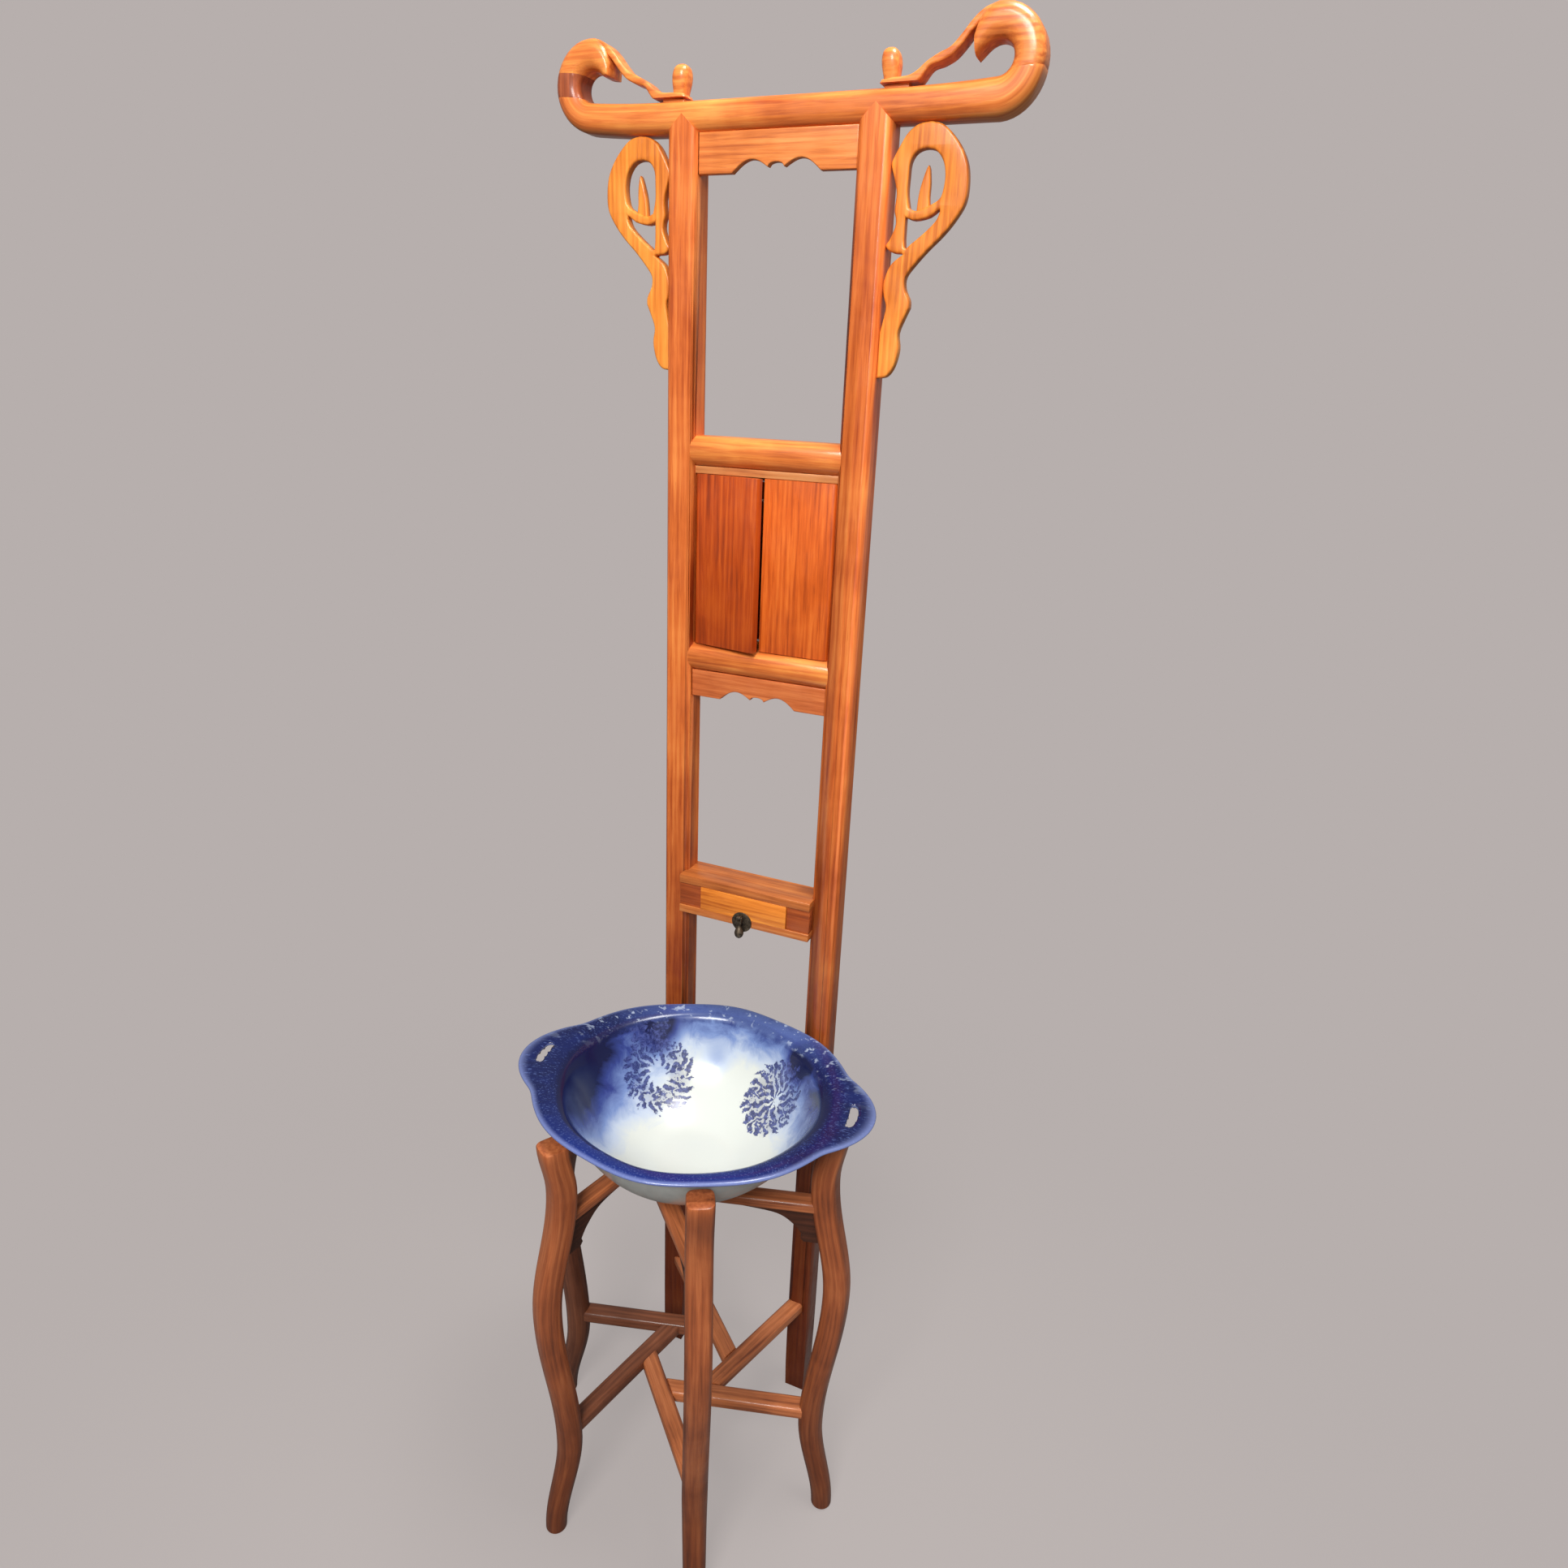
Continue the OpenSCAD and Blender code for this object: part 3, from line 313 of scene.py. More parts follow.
class Graph:
    """A material's nodes, with short ways to add them."""

    def __init__(self, holder: bpy.types.Material | bpy.types.World, grain: Grain = UPRIGHT) -> None:
        """Starts on a new material or world, whose shader stands ready."""
        self.grain = grain
        self.seed = sum((i + 1) * ord(c) for i, c in enumerate(holder.name)) % 997
        holder.use_nodes = True
        self.tree = holder.node_tree
        self.shader = next(node for node in self.tree.nodes
                           if node.bl_idname in ("ShaderNodeBsdfPrincipled", "ShaderNodeBackground"))

    def add(self, kind: str, **settings: object) -> bpy.types.Node:
        """Adds a node of a kind and sets its properties."""
        node = self.tree.nodes.new("ShaderNode" + kind)
        for key, value in settings.items():
            setattr(node, key, value)
        return node

    def out(self, node: bpy.types.Node, output: int | str = 0) -> Value:
        """Returns one of a node's outputs."""
        return Value(self, node.outputs[output])

    def feed(self, socket: bpy.types.NodeSocket, value: object) -> None:
        """Links a value to a socket, or sets the socket to a number or colour."""
        if isinstance(value, Value):
            self.tree.links.new(value.socket, socket)
        elif isinstance(value, tuple) and len(value) == 3 and socket.type == "RGBA":
            socket.default_value = (*value, 1)
        else:
            socket.default_value = value

    def fill(self, node: bpy.types.Node, **values: object) -> None:
        """Sets or links a node's sockets by name."""
        for name, value in values.items():
            self.feed(node.inputs[name.replace("_", " ")], value)

    def set(self, **values: object) -> None:
        """Sets or links the shader's sockets by name."""
        self.fill(self.shader, **values)

    def attribute(self, name: str) -> Value:
        """Returns coordinates that the mesh itself holds."""
        return self.out(self.add("Attribute", attribute_name=name), "Vector")

    def place(self) -> Value:
        """Returns the place in the object."""
        return self.out(self.add("TexCoord"), "Object")

    def own_place(self) -> Value:
        """Returns the place in the object, moved so that each piece has its own pattern."""
        return self.mapped(self.place(), shift=(0.1 * (self.seed % 11), 0, 0))

    def math(self, operation: str, a: Value | float, b: Value | float = 0.0, clamp: bool = False) -> Value:
        """Adds an operation on two numbers and returns its result."""
        node = self.add("Math", operation=operation, use_clamp=clamp)
        self.feed(node.inputs[0], a)
        self.feed(node.inputs[1], b)
        return self.out(node)

    def noise(self, place: Value, scale: float, detail: float = 3, rough: float = 0.5,
              warp: float = 0.0) -> Value:
        """Adds cloudy noise and returns its strength."""
        node = self.add("TexNoise")
        self.fill(node, Vector=place, Scale=scale, Detail=detail, Roughness=rough, Distortion=warp)
        return self.out(node, "Fac")

    def mapped(self, place: Value, scale: tuple = (1, 1, 1), shift: tuple = (0, 0, 0),
               turn: tuple = (0, 0, 0)) -> Value:
        """Moves, turns and stretches a place and returns it."""
        node = self.add("Mapping")
        self.fill(node, Vector=place, Location=shift, Rotation=turn, Scale=scale)
        return self.out(node)

    def step(self, value: Value, low: float, high: float, start: float = 0.0, end: float = 1.0) -> Value:
        """Goes softly from start to end while value goes from low to high."""
        node = self.add("MapRange", interpolation_type="SMOOTHSTEP")
        self.fill(node, Value=value, From_Min=low, From_Max=high, To_Min=start, To_Max=end)
        return self.out(node)

    def mix(self, share: Value | float, first: object, second: object, kind: str = "MIX") -> Value:
        """Mixes two colours by a share and returns the result."""
        node = self.add("Mix", data_type="RGBA", blend_type=kind)
        # Inputs 6 and 7 and output 2 are the node's sockets for colours.
        for number, value in ((0, share), (6, first), (7, second)):
            self.feed(node.inputs[number], value)
        return self.out(node, 2)

    def ramp(self, value: Value, stops: list[tuple[float, Colour]]) -> Value:
        """Reads a colour off a row of stops."""
        node = self.add("ValToRGB")
        band = node.color_ramp
        while len(band.elements) < len(stops):
            band.elements.new(1)
        for element, (position, colour) in zip(band.elements, stops):
            element.position = position
            element.color = (*colour, 1)
        self.feed(node.inputs[0], value)
        return self.out(node)

    def blend(self, share: Value, first: bpy.types.Node, second: bpy.types.Node) -> None:
        """Shows a mix of two shaders by a share."""
        mixed = self.add("MixShader")
        end = next(node for node in self.tree.nodes if node.bl_idname.startswith("ShaderNodeOutput"))
        self.feed(mixed.inputs[0], share)
        for socket, node in ((mixed.inputs[1], first), (mixed.inputs[2], second), (end.inputs[0], mixed)):
            self.feed(socket, self.out(node))

    def split(self, place: Value) -> tuple[Value, ...]:
        """Returns the three parts of a place."""
        node = self.add("SeparateXYZ")
        self.feed(node.inputs[0], place)
        return tuple(self.out(node, i) for i in range(3))

    def bump(self, height: Value, distance: float, strength: float) -> None:
        """Raises the surface by a height, in metres."""
        node = self.add("Bump")
        self.fill(node, Strength=strength, Distance=distance, Height=height)
        self.set(Normal=self.out(node))


@dataclass(frozen=True)
class Finish:
    """What a piece is finished in."""

    slot: str

    def dress(self, piece: bpy.types.Object, grain: Grain) -> None:
        """Gives a piece this finish, with a pattern of its own."""
        material = bpy.data.materials.new(piece.name)
        self.paint(Graph(material, grain))
        piece.data.materials.clear()
        piece.data.materials.append(material)

    def paint(self, g: Graph) -> None:
        """Lays the finish's nodes.

        Args:
            g: The material's nodes.
        """
        raise NotImplementedError


@dataclass(frozen=True)
class Wood(Finish):
    """Wood with long fibres, darker lines and a coat of lacquer.

    Attributes:
        light: Colour between the lines.
        body: Main colour.
        dark: Colour of the lines.
        foot: Tint that darkens the wood towards the floor: partly the wood's own darker tone, partly
            painted shade.
        foot_z: Heights at which the foot's tint is full and has gone, in metres.
        lines: Strength of the lines.
        rough: Roughness of the lacquer.
        coat: Weight of the lacquer.
    """

    light: Colour
    body: Colour
    dark: Colour
    foot: Colour | None = None
    foot_z: Point = (0.0, 1.0)
    lines: float = 1.0
    rough: float = 0.36
    coat: float = 0.25

    def paint(self, g: Graph) -> None:
        """Lays the wood's nodes: fibres, wide bands, pores, blotches and wear."""
        # Each piece is cut from another place in the tree.
        place = g.attribute("grain") if g.grain is SWEPT else g.place()
        shift = (0.37 * (g.seed % 13), 0.23 * (g.seed % 17), 0.61 * (g.seed % 7))
        place = g.mapped(place, shift=shift, turn=g.grain.value or (0, 0, 0))

        # Long fibres, wide bands, pores and blotches.
        bend = g.noise(g.mapped(place, (1, 1, 0.2)), 22, 2)
        streaks = g.noise(g.mapped(place, (1, 1, 0.045)), 210, 5, 0.62, 0.5)
        bands = g.add("TexWave", wave_type="BANDS", bands_direction="X", wave_profile="SIN")
        g.fill(bands, Vector=g.mapped(place, (1, 0.7, 0.05)), Scale=38, Distortion=7, Detail=3,
               Detail_Scale=1.3)
        pores = g.step(g.noise(g.mapped(place, (1, 1, 0.03)), 1500, 2), 0.6, 0.72)
        blotch = g.noise(place, 9, 3, 0.55, 0.4) - 0.5
        tone = (streaks - 0.5) * (0.8 * self.lines) + 0.5 + (g.out(bands, "Fac") - 0.5) * (0.1 * self.lines)
        tone = tone + (bend - 0.5) * 0.35 + blotch * 0.55
        colour = g.ramp(tone, [(0.26, self.dark), (0.5, self.body), (0.76, self.light)])
        colour = g.mix(pores * 0.3, colour, self.dark)

        # Darker towards the floor, partly the wood's own tone and partly painted shade, and the worn
        # lacquer.
        if self.foot:
            height = g.split(g.place())[2] + blotch * 0.16
            share = g.step(height, *self.foot_z, 1, 0)
            colour = g.mix(share, colour, g.mix(1.0, colour, self.foot, "MULTIPLY"))
        wear = g.step(g.noise(place, 31, 4, 0.6), 0.42, 0.7)
        g.set(Base_Color=colour, Roughness=wear * 0.16 + self.rough, Coat_Weight=self.coat,
              Coat_Roughness=0.16, Specular_IOR_Level=0.35)
        g.bump(streaks * 0.6 - pores * 0.5, 0.0004, 0.35)


@dataclass(frozen=True)
class Metal(Finish):
    """Aged metal, bright where it is rubbed and dull in its hollows."""

    bright: Colour
    dull: Colour
    rough: float = 0.38

    def paint(self, g: Graph) -> None:
        """Lays the metal's nodes."""
        place = g.own_place()
        spots = g.noise(place, 260, 5, 0.65, 0.3)
        scratches = g.noise(g.mapped(place, (1, 1, 0.1)), 2400, 3, 0.6)
        age = g.step(spots + scratches * 0.15, 0.42, 0.72)
        g.set(Base_Color=g.mix(age, self.bright, self.dull), Roughness=age * 0.25 + self.rough,
              Metallic=0.85)
        g.bump(spots + scratches * 0.3, 0.0003, 0.4)


@dataclass(frozen=True)
class Silvered(Finish):
    """Silvered glass with a little clouding."""

    bright: Colour = tint("c4cacc")
    clouded: Colour = tint("969894")

    def paint(self, g: Graph) -> None:
        """Lays the glass's nodes."""
        place = g.own_place()
        clouds = g.step(g.noise(place, 40, 5, 0.6), 0.5, 0.75)
        g.set(Base_Color=g.mix(clouds, self.bright, self.clouded), Roughness=clouds * 0.2 + 0.04,
              Metallic=1.0)
        g.bump(clouds, 0.0001, 0.1)


@dataclass(frozen=True)
class Spray:
    """A round spray of small leaves on the opened-out bowl.

    Attributes:
        x: Distance to the right of the bowl's middle, in metres.
        y: Distance to the back.
        size: Radius.
        hollow: Share of the radius that stays white in the middle.
        turn: Turn in degrees.
    """

    x: float
    y: float
    size: float
    hollow: float
    turn: float


@dataclass(frozen=True)
class Porcelain(Finish):
    """White glazed porcelain with a flowing cobalt rim and sprays of leaves.

    Attributes:
        white: Colour of the glaze.
        cobalt: Blue of the rim.
        navy: Darkest blue.
        sprays: The sprays of leaves.
        blots: Places and sizes of dark clouds: right, back, radius and strength.
        leaf_rings: Rings of a spray: count of leaves, middle, half length and twist.
        wall: Distance from the middle to where the walls reach the rim, in metres.
    """

    white: Colour = tint("d0d4ce")
    cobalt: Colour = tint("0f2570")
    navy: Colour = tint("080e3a")
    sprays: tuple = (Spray(-0.1, 0.108, 0.056, 0.26, 10), Spray(0.102, 0.104, 0.054, 0.1, 75),
                     Spray(-0.147, 0.16, 0.038, 0.1, 140))
    blots: tuple = ((0.158, 0.143, 0.034, 0.85), (-0.013, 0.153, 0.03, 0.4),
                    (-0.2, -0.02, 0.095, 0.48), (-0.13, 0.165, 0.04, 0.6))
    leaf_rings: tuple = ((8, 0.25, 0.15, 0.9), (12, 0.45, 0.16, -0.8), (16, 0.68, 0.17, 0.5),
                         (21, 0.92, 0.15, -0.5))
    wall: float = 0.216

    def far(self, g: Graph, dx: Value, dy: Value) -> Value:
        """Returns the length of a step to the right and back."""
        return g.math("SQRT", dx * dx + dy * dy)

    def leaves(self, g: Graph, glaze: Value, spray: Spray) -> Value:
        """Draws one spray as rings of small leaves.

        Args:
            g: The material's nodes.
            glaze: The glaze's coordinates.
            spray: The spray.

        Returns:
            How much of the ink is there.
        """
        shifted = g.mapped(glaze, shift=(spray.x * 7, spray.y * 5, 0))
        wobble = g.noise(shifted, 60, 2) - 0.5
        ragged = g.noise(glaze, 420, 2) - 0.5
        x, y, _ = g.split(glaze)
        dx, dy = x - spray.x, y - spray.y
        far = self.far(g, dx, dy) / spray.size + wobble * 0.55
        angle = g.math("ARCTAN2", dy, dx) + wobble + math.radians(spray.turn)
        ink = 0.0
        for count, middle, half, twist in self.leaf_rings:
            if middle < spray.hollow:
                continue
            lean = angle + (far - middle) * twist
            cell = g.math("FRACT", lean * (count / (2 * math.pi))) - 0.5
            along = (far - middle) / half
            shape = along * along + g.math("POWER", cell / 0.33, 2) + ragged * 2.4
            ink = g.math("MAXIMUM", ink, g.step(shape, 0.7, 1.3, 1, 0))
        kept = g.step(g.noise(shifted, 48, 2), 0.32, 0.4)
        core = g.step(far, spray.hollow + 0.05, spray.hollow + 0.3) * g.step(far, 0.7, 1.1, 0.34, 0)
        return g.math("MAXIMUM", ink * kept, core)

    def paint(self, g: Graph) -> None:
        """Lays the porcelain's nodes: shaded walls, sprays, rim band with painted glints, lip and
        underside.
        """
        glaze = g.attribute("glaze")
        x, y, along = g.split(glaze)
        clouds = g.noise(g.mapped(glaze, shift=(0.4, 0.2, 0)), 24, 5, 0.62, 0.6) - 0.5
        far = self.far(g, x, y)

        # How far a place lies towards the left, the right and the back.
        safe = g.math("MAXIMUM", far, 0.001)
        left = g.step(x / safe, -0.95, -0.35, 1, 0)
        right = g.step(x / safe, 0.45, 0.98)
        back = g.step(y / safe, 0.0, 0.8)
        sides = g.math("MAXIMUM", left, right)

        # Blue that flows down the walls.
        width = left * 0.115 + right * 0.085 + back * 0.05 + 0.01
        level = g.math("MAXIMUM", sides, back * 0.4 + 0.32)
        deep = 1.0 - (self.wall - far) / width
        deep = g.math("MAXIMUM", g.math("MINIMUM", deep, 1.0), -0.2) * level + clouds * 0.75
        for right_by, back_by, size, strength in self.blots:
            reach = self.far(g, x - right_by, y - back_by) + clouds * 0.06
            deep = deep + g.step(reach, 0.0, size * 1.4, strength, 0)
        colour = g.ramp(deep, [(0.02, self.white), (0.3, tint("b8c4d6")), (0.56, tint("748abc")),
                               (0.82, tint("303e82")), (1.0, self.navy)])

        # Sprays of leaves.
        ink = 0.0
        for spray in self.sprays:
            ink = g.math("MAXIMUM", ink, self.leaves(g, glaze, spray))
        fine = g.noise(glaze, 150, 4, 0.65, 0.4)
        shade = g.mix(g.step(fine, 0.38, 0.64), tint("1a2058"), tint("46508c"))
        colour = g.mix(ink * 0.92, colour, shade)

        # Rim band with painted glints on its back, its dark inner line, the lip and the underside.
        edge = along + clouds * 0.016
        pale = back * (1.0 - sides)
        specks = g.step(g.noise(glaze, 330, 3, 0.7), 0.54, 0.68)
        # Painted glints: pale spots on the back of the rim that stand in for highlights.
        painted_glint = g.step(g.noise(g.mapped(glaze, shift=(0.7, 0.1, 0)), 62, 3, 0.6), 0.56, 0.64)
        rim = g.mix(sides * 0.75 + clouds, self.cobalt, self.navy)
        for share, light in ((specks * 0.38, tint("687ebc")), (pale * 0.4, tint("7084bc")),
                             (painted_glint * (back * 0.8), tint("b8c6de"))):
            rim = g.mix(share, rim, light)
        thin = g.math("MULTIPLY", pale, clouds * 1.6 + 0.3, True)
        line = g.step(edge, 0.213, 0.217) * g.step(edge, 0.226, 0.231, 1, 0) * (0.95 - back * 0.75)
        lip = g.step(along, 0.244, 0.25) * g.step(along, 0.255, 0.258, 1, 0)
        below = g.mix(clouds + 0.5, tint("a4a8a8"), self.white)
        for share, layer in ((g.step(edge, 0.217, 0.224) * (1.0 - thin), rim), (line, self.navy),
                             (lip * 0.6, tint("808ec4")), (g.step(along, 0.257, 0.262), below)):
            colour = g.mix(share, colour, layer)
        g.set(Base_Color=colour, Roughness=0.24, Coat_Weight=0.3, Coat_Roughness=0.1,
              Specular_IOR_Level=0.4)
        g.bump(g.noise(glaze, 35, 2), 0.0006, 0.12)


# The foot tints of the frame and the legs darken them towards the floor: partly the wood's own tone, partly
# painted shade.
FRAME = Wood("frame_wood", tint("f08e46"), tint("d66c2e"), tint("a64418"),
             foot=tint("847476"), foot_z=(0.3, 1.25))
CREST = Wood("frame_wood", tint("f69e4c"), tint("da7634"), tint("aa4c1e"), coat=0.4)
LEG = Wood("leg_wood", tint("be6e40"), tint("9c522d"), tint("6a351f"),
           foot=tint("b8b2ac"), foot_z=(0.03, 0.4))
# A darker copy of the leg wood: painted shade for the leg that stands in the bowl's shadow.
LEG_SHADED = Wood("leg_wood", tint("844e34"), tint("683a26"), tint("48261a"))
BAR = Wood("leg_wood", tint("dc8856"), tint("b86a3f"), tint("743c24"))
# A darker copy of the bar wood: painted shade for the bars on the shadowed left side.
BAR_SHADED = Wood("leg_wood", tint("9c5e40"), tint("7c4830"), tint("522c1e"))
DARK = Wood("dark_wood", tint("5c301e"), tint("442214"), tint("2a140c"), rough=0.5, coat=0.1)
SPLICE = Wood("splice_wood", tint("be683e"), tint("a4522e"), tint("7a361c"))
CARVING = Wood("carving_wood", tint("faa242"), tint("e6842e"), tint("b65a1a"))
APRON = Wood("carving_wood", tint("f89e56"), tint("e2803c"), tint("b25624"))
LOW_APRON = Wood("carving_wood", tint("e4844a"), tint("c66634"), tint("964620"))
BOARD = Wood("board_wood", tint("d88648"), tint("be6a32"), tint("90481e"))
STRIP = Wood("board_wood", tint("e29e64"), tint("ce824a"), tint("a05a2e"))
BLOCK = Wood("block_wood", tint("b85c2a"), tint("9a461e"), tint("6c2e14"))
# The left door's copy of the door wood is darker by painted shade; the right door's copy is the lighter
# one.
DOOR_LEFT_SHADED = Wood("door_wood", tint("ce5c1a"), tint("b2440e"), tint("842e0a"), lines=1.2)
DOOR_RIGHT = Wood("door_wood", tint("ee7a2e"), tint("d45e1c"), tint("a03e10"), lines=1.2)
PLAIN = Wood("plain_wood", tint("cea676"), tint("ba9060"), tint("946c42"), rough=0.6, coat=0)
BRASS = Metal("aged_brass", tint("786856"), tint("423930"))
IRON = Metal("nail", tint("4a4642"), tint("282422"), rough=0.5)
SILVERED = Silvered("mirror")
GLAZE = Porcelain("porcelain")


def eased(name: str, finish: Finish, grain: Grain, edge: float, body: str = "stand") -> None:
    """Makes a piece from its own solid, with the edges eased by a width."""
    blank = Blank()
    blank.copy_of(name)
    blank.ease(edge, 50)
    blank.piece(name, finish, grain, body)


# The stand

# The uprights' places round the ring, from the right side towards the back.
SIDES = ("right", "back_right", "back_left", "left", "front_left", "front_right")
POSTS = (1, 2)


@dataclass
class Ring:
    """The six uprights round the middle and the lines of their bars.

    Attributes:
        post_back: Distance from the ring's middle back to the posts.
        offset: Distance at which a bar passes the ring's middle.
        housing: How deep a bar is let into its upright.
        stations: Heights and distances from the middle at which a leg turns.
    """

    spacing: float = 230
    post_back: float = 175.5
    post_w: float = 38
    leg_w: float = 35
    offset: float = 57
    housing: float = 8
    stations: tuple = ((0, 226), (158, 200), (412, 224), (600, 197), (676, 207))

    def leg_r(self, z: float) -> float:
        """Returns how far a leg's middle is from the ring's middle at a height."""
        for (low, a), (high, b) in zip(self.stations, self.stations[1:]):
            if z <= high or high == self.stations[-1][0]:
                t = (z - low) / (high - low)
                return a + (b - a) * (1 - math.cos(math.pi * t)) / 2
        return self.stations[-1][1]

    def upright(self, k: int, z: float) -> Vector:
        """Returns the middle of an upright at a height."""
        if k in POSTS:
            return Vector((self.spacing / 2 * (1 if k == POSTS[0] else -1), self.post_back, 0))
        r, a = self.leg_r(z), math.radians(60 * k)
        return Vector((r * math.cos(a), r * math.sin(a), 0))

    def bar_frame(self, k: int, z: float) -> Matrix:
        """Returns the place of a bar: its own x runs from the upright along the bar."""
        p = self.upright(k, z)
        angle = math.degrees(math.atan2(p.y, p.x)) + 180 + math.degrees(math.asin(self.offset / p.length))
        return Matrix.Translation(p) @ turned(angle)

    def bar_start(self, k: int) -> float:
        """Returns where a bar starts inside its upright."""
        return (self.post_w if k in POSTS else self.leg_w) / 2 - self.housing


RING = Ring()


@dataclass
class Legs:
    """The four curved legs, round at the floor and squarer towards the top."""

    height: float = 676
    foot_w: float = 30
    edge: float = 3
    points: int = 40
    rows: int = 60
    names: tuple = ((0, "leg_right"), (3, "leg_left"), (4, "leg_front_left"), (5, "leg_front_right"))

    def width(self, z: float) -> float:
        """Returns the leg's thickness at a height."""
        return self.foot_w + (RING.leg_w - self.foot_w) * min(z / RING.stations[1][0], 1)

    def leg(self, k: int, name: str) -> None:
        """Makes the leg on a side of the ring, by its name."""
        leg = Blank()
        bmesh.ops.create_circle(leg.mesh, cap_ends=True, radius=1, segments=self.points)
        turn = leg.mesh.verts.layers.float.new("turn")
        for vert in leg.mesh.verts:
            vert[turn] = math.atan2(vert.co.y, vert.co.x)
        top = self.height - self.edge
        heights = [(0, 2 * self.edge), (1, self.edge)]
        heights += [(self.edge + (top - self.edge) * i / self.rows, 0) for i in range(self.rows + 1)]
        heights += [(self.height - 1, self.edge * 0.55), (self.height, 2 * self.edge)]
        edges = [e for e in leg.mesh.edges if e.is_boundary]
        verts = list(leg.mesh.verts)
        grain = leg.grain
        for i, (z, slim) in enumerate(heights):
            if i:
                verts, edges = leg.grow(edges)
            half = (self.width(z) - slim) / 2
            power = 1 / (1 + (z / self.height) ** 1.5)
            for vert in verts:
                c, s = math.cos(vert[turn]), math.sin(vert[turn])
                u = half * math.copysign(abs(c) ** power, c)
                v = half * math.copysign(abs(s) ** power, s)
                vert.co = (RING.leg_r(z) + u, v, z)
                vert[grain] = (u * MM, v * MM, z * MM)
        bmesh.ops.contextual_create(leg.mesh, geom=edges)
        leg.move(turned(60 * k))
        # The left leg takes the darker copy of the leg wood, which is painted shade.
        leg.piece(name, LEG_SHADED if name == "leg_left" else LEG, SWEPT)

    def build(self) -> None:
        """Makes all four."""
        for k, name in self.names:
            self.leg(k, name)


@dataclass
class Stretchers:
    """The two whirls of bars, their braces and the nails.

    Attributes:
        lower: Height and thickness of the lower bars.
        upper: Height and thickness of the upper bars.
        toe: How far a brace's foot stands out from its upright.
        deep: Bars in the darker copy of the bar wood, which is painted shade for the shadowed left side.
    """

    bar_w: float = 25
    bar_round: float = 5
    bar_steps: int = 12
    lower: Point = (178.5, 20)
    upper: Point = (555, 16)
    brace_t: float = 14
    brace_drop: float = 52
    brace_len: float = 112
    toe: float = 10
    deep: tuple = ("lower_stretcher_left", "lower_stretcher_front_left")

    def bar(self, k: int, level: Point, name: str) -> None:
        """Makes one bar, which butts on the side of the next.

        Args:
            k: The side of the ring.
            level: Height of its middle and its thickness.
            name: The piece's and solid's name.
        """
        z, h = level
        line = RING.bar_frame(k, z)
        bar = Blank()
        bar.section(self.bar_w, h, self.bar_round, self.bar_round, 4)
        start = RING.bar_start(k)
        length = RING.upright(k, z).length + self.bar_w - start
        across = line.to_3x3() @ BACK
        bar.sweep([placed(line @ Vector((start + length * i / self.bar_steps, 0, z)), across, UP)
                   for i in range(self.bar_steps + 1)])
        other = RING.bar_frame((k - 1) % len(SIDES), z)
        bar.cut(other @ Vector((0, -self.bar_w / 2, z)), other.to_3x3() @ BACK)
        bar.ease(0.6, 50)
        # Bars on the shadowed left take the darker copy of the bar wood, which is painted shade.
        bar.piece(name, BAR_SHADED if name in self.deep else BAR, SWEPT)

    def brace(self, k: int, name: str) -> None:
        """Makes the arched brace under the upper bar on a side of the ring, by its name."""
        z, h = self.upper
        top, low = z - h / 2, z - h / 2 - self.brace_drop
        start = RING.bar_start(k)
        toe = start + RING.housing + self.toe

        def lean(at: float) -> float:
            """Returns how far the leg leans out of the way at a height."""
            return 0 if k in POSTS else RING.leg_r(at) - RING.leg_r(z)

        line = [(start - lean(at), at) for at in (top, (top + low) / 2, low)]
        line += [(toe, low), (toe + 4, low + 5)]
        line += smooth_line([(toe + 2, low + 11), (toe + 14, low + 27), (toe + 38, low + 43),
                             (self.brace_len, top - 3)], 6)
        line.append((self.brace_len, top))
        brace = Blank()
        brace.plate(line, self.brace_t, 1.2)
        for vert in brace.mesh.verts:
            vert[brace.grain] = (vert.co.z * MM, vert.co.y * MM, vert.co.x * MM)
        brace.move(RING.bar_frame(k, z))
        brace.piece(name, DARK, SWEPT)

    def build(self) -> None:
        """Makes both whirls, the braces and the nails."""
        for k, side in enumerate(SIDES):
            self.bar(k, self.lower, "lower_stretcher_" + side)
            self.bar(k, self.upper, "upper_stretcher_" + side)
            self.brace(k, "arched_brace_" + side)
        eased("stretcher_nails", IRON, UPRIGHT, 0.3)


